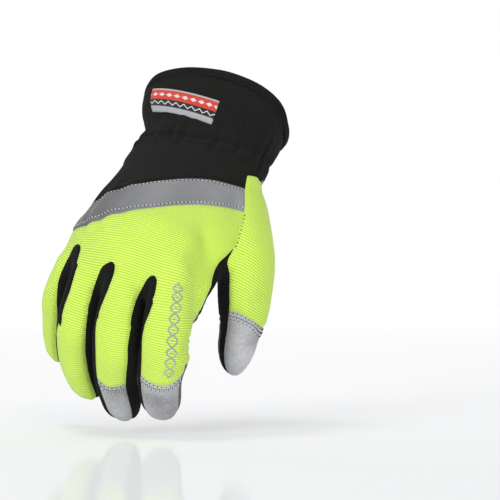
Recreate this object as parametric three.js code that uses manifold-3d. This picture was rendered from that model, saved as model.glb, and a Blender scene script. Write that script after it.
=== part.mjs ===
// A high dexterity work glove for the right hand, filled as if worn: the forearm leans back, the wrist
// is bent a little backwards, and the fingers hang down and curl. Millimetres, +Z up, -Y towards the
// back of the glove, +X towards the thumb. The origin is the middle of the wrist.
//
// The hand form is a set of lofted tubes: one body from the cuff's rim to the knuckles, four fingers, a
// thumb and the web beside it. The glove is the wall between that form and the same form shrunk by the
// thickness of the cloth, and each sewn piece is a share of that wall. Angles round a section run from
// its back (0) towards the thumb side (positive) or the little finger side (negative), in degrees.
import * as THREE from "three";
import Module from "manifold-3d";

const wasm = await Module();
wasm.setup();

// Driving sizes
const WALL = 1.9; // cloth with its foam or lining
const GAP = 0.3; // between two sewn pieces
const CUFF_AXIS = new THREE.Vector3(0.33, 0.5, 0.8).normalize(); // from the wrist to the rim
const HAND_AXIS = new THREE.Vector3(-0.41, -0.7, -0.58).normalize(); // from the wrist to the knuckles
const THUMBWARD = new THREE.Vector3(0.908, -0.373, -0.191).normalize(); // across the back of the hand
const WRIST_BEND = 16; // length of the bend on each side of the wrist
// Where the body bends down to the fingers, and the slant of its last rings to the thumb side.
const KNUCKLES = { start: 60, end: 92, skew: 5, skewStart: 30 };
const FINGER_AXIS = new THREE.Vector3(-0.16, 0.05, -0.98).normalize(); // from the knuckles down
// From the wrist to the rim, on each side of the cuff, and the rim's dip beside the little finger.
const RIM = { back: 53, side: 41, palm: 35, turn: -8, dip: 6, dipAt: -125, dipSpread: 30 };
const GATHERS = { count: 8, depth: 0.8, at: -19, reach: 16 }; // pulled in by the cuff's elastic
const BINDING = { width: 4.5, proud: 0.7, edge: 0.3 }; // hem round the rim, thinner at its edges
// Padded rolls across the palm. facing: the cosine of the angle where they begin.
const QUILT = { start: 8, pitch: 15, rolls: 3, height: 1.1, skew: 7, facing: -0.3 };
const LIMB_SQUARE = 2.25; // 2 is an ellipse, more is squarer
const TIP = 4; // joints from a limb's root to its tip
const OPEN_RIM = 2; // how far the hollow goes past the rim

// How finely the tubes are made.
const BODY_SIDES = 32;
const LIMB_SIDES = 12;
const INSIDE_SIDES = { body: 24, limb: 8 };
const CUFF_STATIONS = [-1, -0.8, -0.6, -0.45, -0.3, -0.12]; // shares of the way from the wrist to the rim
const KNUCKLE_STATIONS = [63, 74, 82];
const BODY_END = { ring: 90, point: 94 };
const FACET_TOLERANCE = 0.1;

// The cutters. They begin at a tube's middle line and stand out from its wall. middle: how far their end
// points are moved from the middle line.
const CUTTER = { limb: 1, body: 2.5, middle: 0.3, pastTip: 4 };
const LIMB_STEPS = { degrees: 30, perJoint: 2.5 };
const BODY_STEPS = { stations: 4, wide: 10, thumb: 12, trim: 6 };

// The body's sections. along: from the wrist towards the fingers. little and thumb: how far it reaches
// to each side. back and palm: half depths. lift: how far the middle is raised to the back. arch: how
// far the edges of the hand drop below its middle. square: 2 is an ellipse, more is squarer.
const BODY = [
  { along: -60, little: 47, thumb: 43, back: 26.5, palm: 25, lift: 0, arch: 0, square: 2.35 },
  { along: -41, little: 46.5, thumb: 42.5, back: 25.5, palm: 25, lift: 0, arch: 0, square: 2.4 },
  { along: -30, little: 44, thumb: 41.5, back: 24, palm: 23, lift: 0, arch: 0, square: 2.4 },
  { along: -19, little: 38, thumb: 40.5, back: 21.5, palm: 21, lift: 0, arch: 0, square: 2.1 },
  { along: -8, little: 40.5, thumb: 40.5, back: 21.5, palm: 20.5, lift: 0, arch: 0, square: 2.1 },
  { along: 6, little: 40, thumb: 40, back: 21, palm: 20, lift: 0, arch: 0, square: 2.1 },
  { along: 22, little: 40.5, thumb: 37, back: 19, palm: 20, lift: 0, arch: 2, square: 2.2 },
  { along: 40, little: 42, thumb: 36, back: 17.5, palm: 19, lift: 0, arch: 4, square: 2.25 },
  { along: 56, little: 41.5, thumb: 35.5, back: 17, palm: 17, lift: 0, arch: 6, square: 2.3 },
  { along: 70, little: 41, thumb: 34, back: 16, palm: 16, lift: 0, arch: 7, square: 2.3 },
  { along: 80, little: 38, thumb: 31, back: 13.5, palm: 13, lift: -1, arch: 6, square: 2.3 },
  { along: 90, little: 33, thumb: 27, back: 8, palm: 8, lift: -3, arch: 5, square: 2.3 },
];

// The limbs' centre lines, from inside the palm over the knuckle, the middle joint and the end joint to
// the tip. faces: how far the limb's back is turned from -Y towards the little finger. width and depth:
// half sizes, multiplied by the profile's factors.
const LIMBS = {
  index: {
    points: [[0, -39, -34], [-8, -56, -48], [-12.8, -60, -92], [-17, -46.5, -113.5], [-16.5, -30, -135]],
    faces: 10,
    width: 12.8,
    depth: 12,
  },
  middle: {
    points: [[-19, -32, -30], [-29, -49, -44], [-40, -50, -90.5], [-41.5, -34, -114], [-36, -18, -136.5]],
    faces: 24,
    width: 12.6,
    depth: 12,
  },
  ring: {
    points: [[-34, -21, -26], [-45.5, -36, -39], [-61, -35, -83], [-62, -20, -105.5], [-56, -4, -126]],
    faces: 36,
    width: 11.9,
    depth: 11.4,
  },
  little: {
    points: [[-45, -9, -24], [-56, -21, -36], [-72, -15, -70.5], [-75, -2.5, -89], [-75.5, 11.5, -107]],
    faces: 52,
    width: 10.6,
    depth: 10.4,
  },
  thumb: {
    points: [[15, 0, 5], [26, -14, -20], [28.8, -33, -52], [26.8, -27, -82], [21, -17, -114]],
    faces: -42,
    width: 14.2,
    depth: 13.4,
  },
  web: {
    points: [[10, -16, -14], [13, -38, -38], [8, -46, -54], [0, -55, -68], [-5, -57, -82]],
    faces: -32,
    width: 10,
    depth: 10,
  },
};

// How a limb swells and tapers. at: 0 the root, 1 the knuckle, 2 the middle joint, 3 the end joint, 4
// the tip.
const FINGER_PROFILE = [
  { at: 0, width: 0.7, back: 0.75, palm: 0.75 },
  { at: 0.6, width: 0.88, back: 0.98, palm: 0.95 },
  { at: 1, width: 0.92, back: 1.07, palm: 1.05 },
  { at: 1.4, width: 0.94, back: 1.05, palm: 1.1 },
  { at: 2, width: 1.02, back: 1.05, palm: 0.94 },
  { at: 2.45, width: 0.97, back: 0.96, palm: 1.06 },
  { at: 3, width: 0.92, back: 0.96, palm: 0.9 },
  { at: 3.35, width: 0.88, back: 0.85, palm: 0.94 },
  { at: 3.66, width: 0.76, back: 0.7, palm: 0.78 },
  { at: 3.88, width: 0.48, back: 0.42, palm: 0.48 },
];
const THUMB_PROFILE = [
  { at: 0, width: 0.7, back: 0.75, palm: 0.9 },
  { at: 0.5, width: 0.86, back: 0.85, palm: 1.1 },
  { at: 1, width: 0.98, back: 0.95, palm: 1.25 },
  { at: 1.5, width: 1.06, back: 1, palm: 1.2 },
  { at: 2, width: 1.12, back: 1.04, palm: 1.08 },
  { at: 2.5, width: 1.06, back: 0.97, palm: 1.03 },
  { at: 3, width: 0.92, back: 0.9, palm: 0.9 },
  { at: 3.3, width: 0.73, back: 0.72, palm: 0.92 },
  { at: 3.65, width: 0.59, back: 0.55, palm: 0.78 },
  { at: 3.88, width: 0.4, back: 0.4, palm: 0.46 },
];
const WEB_PROFILE = [
  { at: 0, width: 1.1, back: 1, palm: 1 },
  { at: 1, width: 1.8, back: 1.2, palm: 1.1 },
  { at: 2, width: 0.95, back: 0.85, palm: 0.9 },
  { at: 3, width: 0.6, back: 0.65, palm: 0.7 },
  { at: 3.7, width: 0.4, back: 0.4, palm: 0.4 },
];
const PROFILES = { thumb: THUMB_PROFILE, web: WEB_PROFILE };

// Where the sewn pieces meet round each limb: the edges of its back, and the far edges of its side
// strips, on the little finger side and on the thumb side.
const SEAMS = {
  index: { back: [-52, 98], side: [-118, 98] },
  middle: { back: [-32, 57], side: [-118, 112] },
  ring: { back: [-50, 62], side: [-118, 112] },
  little: { back: [-112, 34], side: [-112, 116] },
  thumb: { back: [-72, 104], side: [-132, 104] },
};
const SLOT_START = { index: 1.5, middle: 1.4, ring: 1.35, little: 1.3 }; // where the side strips begin
// The slots' tops on the back of the hand: their middle lines, their size, and how far they slope to one
// side.
const SLOTS = {
  index: [[-20.3, -63, -60], [-24, -59, -69], [-27.5, -58, -79]],
  middle: [[-44.7, -55, -54.5], [-48, -50, -62], [-51, -47, -71]],
  ring: [[-63, -37, -45.5], [-67, -32, -51], [-70, -29, -58]],
};
const SLOT = { halfWidth: 3.5, halfDepth: 8, sides: 8, slope: 0.2 };
// A slot's rings. before: how far above its first point, in half widths. at: the share of its line.
const SLOT_RINGS = [
  { before: 0.8, at: 0, width: 0.55 },
  { before: 0.4, at: 0, width: 0.9 },
  { before: 0, at: 0, width: 1 },
  { before: 0, at: 0.33, width: 1 },
  { before: 0, at: 0.67, width: 1 },
  { before: 0, at: 1, width: 1 },
];
const FINGER_BACK_START = 0.6;
const WEB_BACK = { angles: [-110, 15], start: 0.4, end: 3.7 };
const WEB_FRONT = { angles: [10, 150], start: 0.8, end: 3.7 };
const WEB_START = 1.35; // the gusset on the thumb's side
const CAP_START = { index: 2.76, middle: 2.84, thumb: 2.88 }; // the grey fingertips on the back
const PAD_START = { index: 3.16, thumb: 3.1 }; // the smooth fingertips in front
const PAD_HALF_ANGLE = 56;
const SIDE_SEAM = { little: -112, thumb: 98 }; // the palm's edges round the body
const HEEL = -5; // the palm's edge towards the cuff
const PAST_BODY = 100; // an end for the pieces that run over the knuckles
const HEEL_LAP = 1; // how far the two shares of the cuff run into each other
// The seam between the backs of hand and thumb.
const THUMB_SEAM = { through: [28.5, -14, -4], normal: [0.967, -0.24, -0.083] };
const THUMB_TOP = { angle: 55, along: 10, seamAlong: -3 }; // the thumb back's point beside the cuff
const THUMB_ROOT = { start: 0.1, angle: 40, along: 56 }; // the thumb back's share of the hand's side
const THUMB_FRONT = { angles: [100, 234], start: 1.05 };

// The reflective band's edges, by the angle round the body: its start and end from the wrist.
const BAND = [
  { angle: -118, start: 51, end: 70 },
  { angle: -55, start: 49, end: 69 },
  { angle: -38, start: 45.5, end: 67.5 },
  { angle: -23, start: 42.5, end: 65 },
  { angle: -9, start: 38, end: 62.5 },
  { angle: 10, start: 31.5, end: 56.5 },
  { angle: 27, start: 26, end: 48.5 },
  { angle: 40, start: 22, end: 42.5 },
  { angle: 54, start: 18.5, end: 36.5 },
  { angle: 75, start: 12.5, end: 28.5 },
  { angle: 104, start: 6, end: 20 },
];

// The woven patch on the cuff's back and the pull tab on its palm side. along and angle: the middle.
// slant: how far it moves to the wrist with each degree round the cuff. spread: its width in degrees.
const PATCH = { along: -28.5, angle: -18, length: 14.5, spread: 60, slant: 0.11, thick: 0.8 };
const TAB = { along: -15, angle: 147, length: 26, spread: 24, slant: 0, thick: 1 };
const TRIM_GAP = 0.12; // between a patch and the cloth under it

const radians = THREE.MathUtils.degToRad;
const LINES = Object.fromEntries(
  Object.entries(LIMBS).map(([name, limb]) => {
    const points = limb.points.map((xyz) => new THREE.Vector3(...xyz));
    return [name, new THREE.CatmullRomCurve3(points, false, "centripetal")];
  }),
);

// A linear look-up in one of the tables above.
function lookUp(table, key, value, name) {
  const after = table.findIndex((row) => row[key] >= value);
  if (after === 0) return table[0][name];
  if (after < 0) return table[table.length - 1][name];
  const [low, high] = [table[after - 1], table[after]];
  return THREE.MathUtils.mapLinear(value, low[key], high[key], low[name], high[name]);
}

// A point of a section: its angle is measured in the section's own stretched space.
function sectionPoint(frame, angle, grow) {
  const [x, y] = [Math.sin(angle), Math.cos(angle)];
  const round = (Math.abs(x) ** frame.square + Math.abs(y) ** frame.square) ** (-1 / frame.square);
  const reach = (x < 0 ? frame.little : frame.thumb) + grow;
  const depth = (y < 0 ? frame.palm : frame.back) + grow;
  const ripple = grow > -WALL ? frame.gather * Math.cos(GATHERS.count * angle) : 0;
  const drop = frame.arch * (x * round) ** 2;
  return frame.centre
    .clone()
    .addScaledVector(frame.across, x * round * (reach + ripple))
    .addScaledVector(frame.up, y * round * (depth + ripple) - drop);
}

// The place, directions and sizes of the body's section at a distance along it.
function bodyFrame(along) {
  const turned = THREE.MathUtils.smoothstep(along, -WRIST_BEND, WRIST_BEND);
  const down = THREE.MathUtils.clamp((along - KNUCKLES.start) / (KNUCKLES.end - KNUCKLES.start), 0, 1);
  const beyond = HAND_AXIS.clone().lerp(FINGER_AXIS, down).normalize();
  const forward = CUFF_AXIS.clone().negate().lerp(beyond, turned).normalize();
  const across = THUMBWARD.clone().addScaledVector(forward, -THUMBWARD.dot(forward)).normalize();
  const up = forward.clone().cross(across).normalize();
  const size = (name) => lookUp(BODY, "along", along, name);
  const gather = GATHERS.depth * Math.exp(-(((along - GATHERS.at) / GATHERS.reach) ** 2));
  const centre = CUFF_AXIS.clone().multiplyScalar(Math.max(-along, 0));
  centre.addScaledVector(HAND_AXIS, THREE.MathUtils.clamp(along, 0, KNUCKLES.start));
  const chord = HAND_AXIS.clone().add(beyond).normalize();
  centre.addScaledVector(chord, Math.max(along - KNUCKLES.start, 0)).addScaledVector(up, size("lift"));
  return {
    centre,
    across,
    up,
    forward,
    gather,
    little: size("little"),
    thumb: size("thumb"),
    back: size("back"),
    palm: size("palm"),
    arch: size("arch"),
    square: size("square"),
  };
}

// The same for a limb, at a number of joints from its root.
function limbFrame(name, at) {
  const limb = LIMBS[name];
  const line = LINES[name];
  const step = Math.min(at, TIP) / TIP;
  const forward = line.getTangent(step).normalize();
  const turn = radians(limb.faces);
  const up = new THREE.Vector3(-Math.sin(turn), -Math.cos(turn), 0);
  up.addScaledVector(forward, -up.dot(forward)).normalize();
  const across = up.clone().cross(forward).normalize();
  const profile = PROFILES[name] ?? FINGER_PROFILE;
  const factor = (column) => lookUp(profile, "at", at, column);
  return {
    centre: line.getPoint(step),
    across,
    up,
    forward,
    gather: 0,
    little: limb.width * factor("width"),
    thumb: limb.width * factor("width"),
    back: limb.depth * factor("back"),
    palm: limb.depth * factor("palm"),
    arch: 0,
    square: LIMB_SQUARE,
  };
}

// A point of the body, whose palm side is quilted into slanting padded rolls.
function bodyPoint(along, angle, grow) {
  const frame = bodyFrame(along);
  const across = (along - QUILT.start + QUILT.skew * Math.sin(angle)) / QUILT.pitch;
  const padded = Math.cos(angle) < QUILT.facing && across > 0 && across < QUILT.rolls;
  const roll = padded ? QUILT.height * (0.5 - 0.5 * Math.cos(2 * Math.PI * across)) : 0;
  return sectionPoint(frame, angle, grow + (grow > -WALL ? roll : 0));
}

// A closed body from rings of points, with a point at each end.
function loft(rings, start, end) {
  const sides = rings[0].length;
  const corners = [...rings.flat(), start, end];
  const faces = [];
  for (let ring = 0; ring + 1 < rings.length; ring += 1) {
    for (let side = 0; side < sides; side += 1) {
      const next = (side + 1) % sides;
      const [a, b] = [ring * sides + side, ring * sides + next];
      faces.push(a, b, b + sides, a, b + sides, a + sides);
    }
  }
  const last = (rings.length - 1) * sides;
  for (let side = 0; side < sides; side += 1) {
    const next = (side + 1) % sides;
    faces.push(next, side, rings.length * sides);
    faces.push(last + side, last + next, rings.length * sides + 1);
  }
  const solid = solidOf(corners, faces);
  return solid.volume() > 0 ? solid : solidOf(corners, faces.reverse());
}

function solidOf(corners, faces) {
  const vertProperties = Float32Array.from(corners.flatMap((corner) => corner.toArray()));
  const triVerts = Uint32Array.from(faces);
  return new wasm.Manifold(new wasm.Mesh({ numProp: 3, vertProperties, triVerts }));
}

// How far the rim is from the wrist, round the cuff.
function rimAt(angle) {
  const facing = Math.cos(angle - radians(RIM.turn));
  const end = facing > 0 ? RIM.back : RIM.palm;
  const turn = THREE.MathUtils.euclideanModulo(angle - radians(RIM.dipAt) + Math.PI, 2 * Math.PI) - Math.PI;
  const dip = RIM.dip * Math.exp(-((turn / radians(RIM.dipSpread)) ** 2));
  return RIM.side + (end - RIM.side) * Math.abs(facing) - dip;
}

// The body from the rim to past the knuckles. Every ring between the rim and the wrist is spread over
// that length.
function bodySolid(grow, beyondRim) {
  const rolls = Array.from({ length: 2 * QUILT.rolls + 1 }, (_, i) => QUILT.start + (i * QUILT.pitch) / 2);
  const inside = grow <= -WALL;
  const palmStations = inside ? [rolls[0], rolls[QUILT.rolls], rolls[2 * QUILT.rolls]] : rolls;
  const stations = [...CUFF_STATIONS, ...palmStations, ...KNUCKLE_STATIONS, BODY_END.ring + grow];
  const sides = inside ? INSIDE_SIDES.body : BODY_SIDES;
  const rings = stations.map((station) => {
    const ring = [];
    for (let side = 0; side < sides; side += 1) {
      const angle = (side / sides) * 2 * Math.PI;
      const past = station === -1 ? beyondRim : 0;
      const slanted = THREE.MathUtils.smoothstep(station, KNUCKLES.skewStart, KNUCKLES.start);
      const skew = KNUCKLES.skew * Math.sin(angle) * slanted;
      const cuffEnd = rimAt(angle) - BINDING.width - GAP;
      const along = station < 0 ? station * cuffEnd - past : station + skew;
      ring.push(bodyPoint(along, angle, grow));
    }
    return ring;
  });
  const first = bodyFrame(BINDING.width + GAP - RIM.side - beyondRim).centre;
  const last = bodyFrame(BODY_END.point + grow).centre;
  return loft(rings, first, last);
}

function limbSolid(name, grow) {
  const profile = PROFILES[name] ?? FINGER_PROFILE;
  const sides = grow <= -WALL ? INSIDE_SIDES.limb : LIMB_SIDES;
  const rings = profile.map((row) => {
    const frame = limbFrame(name, row.at);
    const ring = [];
    for (let side = 0; side < sides; side += 1) {
      ring.push(sectionPoint(frame, (side / sides) * 2 * Math.PI, grow));
    }
    return ring;
  });
  const tip = limbFrame(name, TIP);
  const root = limbFrame(name, 0);
  return loft(rings, root.centre, tip.centre.addScaledVector(tip.forward, grow));
}

const LIMB_NAMES = Object.keys(LIMBS);
function handForm(grow, beyondRim) {
  const limbs = LIMB_NAMES.map((name) => limbSolid(name, grow));
  return wasm.Manifold.union([bodySolid(grow, beyondRim), ...limbs]);
}

// A cutter from a limb's middle out through its wall, between two angles and from one joint number to
// another. margin widens it on every side.
function limbWedge(name, [from, to], start, end, margin) {
  const steps = Math.max(2, Math.round((to - from) / LIMB_STEPS.degrees));
  const spread = THREE.MathUtils.radToDeg(margin / LIMBS[name].width);
  const perMillimetre = TIP / LINES[name].getLength();
  const [first, last] = [start - margin * perMillimetre, end + margin * perMillimetre];
  const rings = [];
  const count = Math.max(1, Math.round((end - start) * LIMB_STEPS.perJoint));
  for (let station = 0; station <= count; station += 1) {
    const frame = limbFrame(name, THREE.MathUtils.lerp(first, last, station / count));
    rings.push(wedgeRing(frame, from - spread, to + spread, steps, margin));
  }
  if (end >= TIP) {
    const frame = limbFrame(name, TIP);
    frame.centre.addScaledVector(frame.forward, CUTTER.pastTip);
    rings.push(wedgeRing(frame, from - spread, to + spread, steps, margin));
  }
  return wedgeSolid(rings);
}

function wedgeRing(frame, from, to, steps, margin) {
  const ring = [frame.centre];
  for (let step = 0; step <= steps; step += 1) {
    const angle = radians(THREE.MathUtils.lerp(from, to, step / steps));
    ring.push(sectionPoint(frame, angle, CUTTER.limb + margin));
  }
  return ring;
}

function wedgeSolid(rings) {
  const middle = (ring) => ring[0].clone().lerp(ring[Math.round(ring.length / 2)], CUTTER.middle);
  return loft(rings, middle(rings[0]), middle(rings[rings.length - 1]));
}

// The same on the body; start and end give the edges' distance along it for an angle in degrees.
function bodyWedge([from, to], start, end, margin, steps = BODY_STEPS.wide) {
  const spread = THREE.MathUtils.radToDeg(margin / bodyFrame(HEEL).little);
  const rings = [];
  const centreAt = (share) => {
    const middle = (from + to) / 2;
    return bodyFrame(THREE.MathUtils.lerp(start(middle) - margin, end(middle) + margin, share)).centre;
  };
  for (let station = 0; station <= BODY_STEPS.stations; station += 1) {
    const share = station / BODY_STEPS.stations;
    const ring = [centreAt(share)];
    for (let step = 0; step <= steps; step += 1) {
      const angle = THREE.MathUtils.lerp(from - spread, to + spread, step / steps);
      const along = THREE.MathUtils.lerp(start(angle) - margin, end(angle) + margin, share);
      ring.push(sectionPoint(bodyFrame(along), radians(angle), CUTTER.body + margin));
    }
    rings.push(ring);
  }
  return wedgeSolid(rings);
}

// A tube cutter round the whole body.
function bodyTube(start, end, margin) {
  const rings = [start - margin, end + margin].map((along) => {
    const ring = [];
    for (let side = 0; side < BODY_SIDES; side += 1) {
      const angle = (side / BODY_SIDES) * 2 * Math.PI;
      ring.push(sectionPoint(bodyFrame(along), angle, CUTTER.body + margin));
    }
    return ring;
  });
  return loft(rings, bodyFrame(start - margin).centre, bodyFrame(end + margin).centre);
}

const union = (solids) => wasm.Manifold.union(solids);

// Takes a cutter's share off what is left of the wall, leaving the gap to its neighbours.
let left = handForm(0, 0).subtract(handForm(-WALL, OPEN_RIM));
function take(cutter) {
  const tight = cutter(-GAP / 2);
  const piece = left.intersect(tight);
  left = left.subtract(cutter(GAP / 2)).subtract(tight);
  return largest(piece);
}

function largest(solid) {
  const parts = solid.decompose().sort((a, b) => b.volume() - a.volume());
  return parts[0].simplify(FACET_TOLERANCE).decompose().sort((a, b) => b.volume() - a.volume())[0];
}

const thumbSide = (solid, margin) => {
  const normal = new THREE.Vector3(...THUMB_SEAM.normal).normalize();
  const offset = normal.dot(new THREE.Vector3(...THUMB_SEAM.through));
  return solid.trimByPlane(normal.toArray(), offset - margin);
};
const bandStart = (angle) => lookUp(BAND, "angle", angle, "start");
const bandEnd = (angle) => lookUp(BAND, "angle", angle, "end");
const always = (value) => () => value;
const thumbTop = (angle) =>
  THREE.MathUtils.mapLinear(angle, THUMB_TOP.angle, SIDE_SEAM.thumb, THUMB_TOP.along, THUMB_TOP.seamAlong);
const backs = [SIDE_SEAM.little, SIDE_SEAM.thumb];

// A ring of the hem folded over the rim: its edges are a little lower than its middle.
function rimBand(grow, beyond) {
  const edge = grow - BINDING.edge * BINDING.proud;
  const rows = [
    { offset: -beyond, height: edge },
    { offset: BINDING.width / 2, height: grow },
    { offset: BINDING.width + beyond, height: edge },
  ];
  const rings = rows.map(({ offset, height }) => {
    const ring = [];
    for (let side = 0; side < BODY_SIDES; side += 1) {
      const angle = (side / BODY_SIDES) * 2 * Math.PI;
      ring.push(sectionPoint(bodyFrame(offset - rimAt(angle)), angle, height));
    }
    return ring;
  });
  const [start, end] = [-RIM.side - beyond, BINDING.width - RIM.side + beyond];
  return loft(rings, bodyFrame(start).centre, bodyFrame(end).centre);
}

// The pieces, taken one after another from the wall. Each is a limb's share, the body's share or both.
const thumbTip = take((margin) => limbWedge("thumb", SEAMS.thumb.back, CAP_START.thumb, TIP, margin));
const thumbRoot = [THUMB_ROOT.angle, SIDE_SEAM.thumb];
const thumbBack = take((margin) =>
  thumbSide(
    union([
      limbWedge("thumb", SEAMS.thumb.back, THUMB_ROOT.start, CAP_START.thumb, margin),
      bodyWedge(thumbRoot, thumbTop, always(THUMB_ROOT.along), margin, BODY_STEPS.thumb),
    ]),
    margin,
  ),
);
const cuff = take((margin) =>
  union([
    bodyTube(-RIM.back - BINDING.width, HEEL, margin),
    bodyWedge(backs, always(HEEL - HEEL_LAP), bandStart, margin),
  ]),
);
const band = take((margin) => bodyWedge(backs, bandStart, bandEnd, margin));
const frontAngles = [180 - PAD_HALF_ANGLE, 180 + PAD_HALF_ANGLE];
const thumbPad = take((margin) => limbWedge("thumb", frontAngles, PAD_START.thumb, TIP, margin));
const indexPad = take((margin) => limbWedge("index", frontAngles, PAD_START.index, TIP, margin));

// The slot's top between two fingers, as a solid that passes through the back's wall.
function slotSolid(name, margin) {
  const line = new THREE.CatmullRomCurve3(SLOTS[name].map((xyz) => new THREE.Vector3(...xyz)));
  const [halfWidth, halfDepth] = [SLOT.halfWidth + margin, SLOT.halfDepth + margin];
  const rings = SLOT_RINGS.map(({ before, at, width }) => {
    const centre = line.getPoint(at).addScaledVector(line.getTangent(0), -before * halfWidth);
    const ring = [];
    for (let side = 0; side < SLOT.sides; side += 1) {
      const angle = (side / SLOT.sides) * 2 * Math.PI;
      const [x, y] = [Math.cos(angle) * halfWidth * width, Math.sin(angle) * halfDepth];
      ring.push(centre.clone().add(new THREE.Vector3(x, y, SLOT.slope * x)));
    }
    return ring;
  });
  return loft(rings, rings[0][0].clone().lerp(rings[0][SLOT.sides / 2], 0.5), line.getPoint(1));
}

const strip = (name, side, margin) => {
  const { back, side: far } = SEAMS[name];
  const angles = side === "little" ? [far[0], back[0]] : [back[1], far[1]];
  return limbWedge(name, angles, SLOT_START[name], TIP, margin);
};
const between = (one, other) =>
  take((margin) =>
    union([strip(one, "little", margin), strip(other, "thumb", margin), slotSolid(one, margin)]),
  );
const stripIndexMiddle = between("index", "middle");
const stripMiddleRing = between("middle", "ring");
const stripRingLittle = between("ring", "little");
const indexTip = take((margin) => limbWedge("index", SEAMS.index.back, CAP_START.index, TIP, margin));
const middleTip = take((margin) => limbWedge("middle", SEAMS.middle.back, CAP_START.middle, TIP, margin));
const fingerBack = (name, end, margin) => limbWedge(name, SEAMS[name].back, FINGER_BACK_START, end, margin);
const backPanel = take((margin) =>
  union([
    bodyWedge(backs, bandEnd, always(PAST_BODY), margin),
    fingerBack("index", CAP_START.index, margin),
    fingerBack("middle", CAP_START.middle, margin),
    fingerBack("ring", TIP, margin),
    fingerBack("little", TIP, margin),
    limbWedge("web", WEB_BACK.angles, WEB_BACK.start, WEB_BACK.end, margin),
  ]),
);
const thumbGusset = [SEAMS.thumb.side[0], SEAMS.thumb.back[0]];
const webGusset = take((margin) =>
  union([
    limbWedge("thumb", thumbGusset, WEB_START, TIP, margin),
    limbWedge("web", WEB_FRONT.angles, WEB_FRONT.start, WEB_FRONT.end, margin),
  ]),
);
const thumbFront = take((margin) =>
  limbWedge("thumb", THUMB_FRONT.angles, THUMB_FRONT.start, TIP, margin),
);
const palm = largest(left);
const binding = rimBand(BINDING.proud, 0)
  .subtract(rimBand(-WALL - BINDING.proud, OPEN_RIM))
  .simplify(FACET_TOLERANCE);

// A piece of webbing that lies on the cuff.
const outer = handForm(0, 0);
function onTop({ along, angle, length, spread, slant, thick }) {
  const layer = bodySolid(TRIM_GAP + thick, 0).subtract(bodySolid(TRIM_GAP, 0)).subtract(outer);
  const edge = (half) => (turn) => along + slant * (turn - angle) + half;
  const angles = [angle - spread / 2, angle + spread / 2];
  const area = bodyWedge(angles, edge(-length / 2), edge(length / 2), 0, BODY_STEPS.trim);
  return largest(layer.intersect(area));
}
const patch = onTop(PATCH);
const tab = onTop(TAB);

const YELLOW = 0xd4fa60;
const GREY = 0x9c9da0;
const BLACK = 0x1b1c1b;
const HEM_BLACK = 0x141514;
const CHARCOAL = 0x3a3633;
const PAD_GREY = 0x4a4848;
const RED = 0xc8402c;
const WHITE = 0xe8e9ea;
const KNIT = { roughness: 0.95, metalness: 0 };
const SUEDE = { roughness: 0.95, metalness: 0 };
const TAPE = { roughness: 0.45, metalness: 0.3 };
const SMOOTH = { roughness: 0.65, metalness: 0 };

const object = new THREE.Group();
function addPiece(name, solid, color, surface) {
  const { vertProperties, triVerts, numProp } = solid.getMesh();
  const corners = vertProperties.length / numProp;
  const position = new THREE.Float32BufferAttribute(corners * 3, 3);
  for (let corner = 0; corner < corners; corner += 1) {
    position.setXYZ(corner, ...vertProperties.subarray(corner * numProp, corner * numProp + 3));
  }
  const geometry = new THREE.BufferGeometry();
  geometry.setAttribute("position", position);
  geometry.setIndex(new THREE.Uint32BufferAttribute(triVerts, 1));
  geometry.computeVertexNormals();
  const mesh = new THREE.Mesh(geometry, new THREE.MeshStandardMaterial({ color, ...surface }));
  mesh.name = name;
  object.add(mesh);
}

addPiece("back_panel", backPanel, YELLOW, KNIT);
addPiece("thumb_back", thumbBack, YELLOW, KNIT);
addPiece("reflective_band", band, GREY, TAPE);
addPiece("index_tip", indexTip, GREY, TAPE);
addPiece("middle_tip", middleTip, GREY, TAPE);
addPiece("thumb_tip", thumbTip, GREY, TAPE);
addPiece("strip_index_middle", stripIndexMiddle, BLACK, KNIT);
addPiece("strip_middle_ring", stripMiddleRing, BLACK, KNIT);
addPiece("strip_ring_little", stripRingLittle, BLACK, KNIT);
addPiece("web_gusset", webGusset, BLACK, KNIT);
addPiece("palm_panel", palm, CHARCOAL, SUEDE);
addPiece("thumb_front", thumbFront, CHARCOAL, SUEDE);
addPiece("index_pad", indexPad, PAD_GREY, SMOOTH);
addPiece("thumb_pad", thumbPad, PAD_GREY, SMOOTH);
addPiece("cuff", cuff, BLACK, KNIT);
addPiece("cuff_binding", binding, HEM_BLACK, SMOOTH);
addPiece("woven_patch", patch, RED, SMOOTH);
addPiece("pull_tab", tab, WHITE, SMOOTH);
export default object;
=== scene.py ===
# The looks of the work glove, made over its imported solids. Shapes are worked out in millimetres in the
# solids' frame, and become metres where each piece is made. The hand form repeats the solids' tubes at a
# finer step: one body from the rim to the knuckles, four fingers, a thumb and the web beside it. Angles
# round a section are in degrees, from its back (0) towards the thumb side (up to 180) or the little finger
# side (down to -180).
import math

import bpy
import numpy as np
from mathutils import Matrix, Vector
from mathutils.bvhtree import BVHTree
from mathutils.kdtree import KDTree


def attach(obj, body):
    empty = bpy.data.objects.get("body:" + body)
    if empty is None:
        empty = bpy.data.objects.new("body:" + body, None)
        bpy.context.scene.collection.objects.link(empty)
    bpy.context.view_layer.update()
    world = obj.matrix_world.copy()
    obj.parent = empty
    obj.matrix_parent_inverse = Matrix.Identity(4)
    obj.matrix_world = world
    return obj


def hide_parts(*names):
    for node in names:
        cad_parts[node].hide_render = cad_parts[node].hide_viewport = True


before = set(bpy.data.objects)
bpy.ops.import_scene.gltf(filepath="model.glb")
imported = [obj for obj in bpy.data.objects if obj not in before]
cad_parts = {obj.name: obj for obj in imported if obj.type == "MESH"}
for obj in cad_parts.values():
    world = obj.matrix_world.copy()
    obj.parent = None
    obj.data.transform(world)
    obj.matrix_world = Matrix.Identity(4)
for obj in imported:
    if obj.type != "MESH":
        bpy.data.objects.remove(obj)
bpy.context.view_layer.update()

MM = 0.001
WALL = 1.7
VOXEL = 1.1


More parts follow.
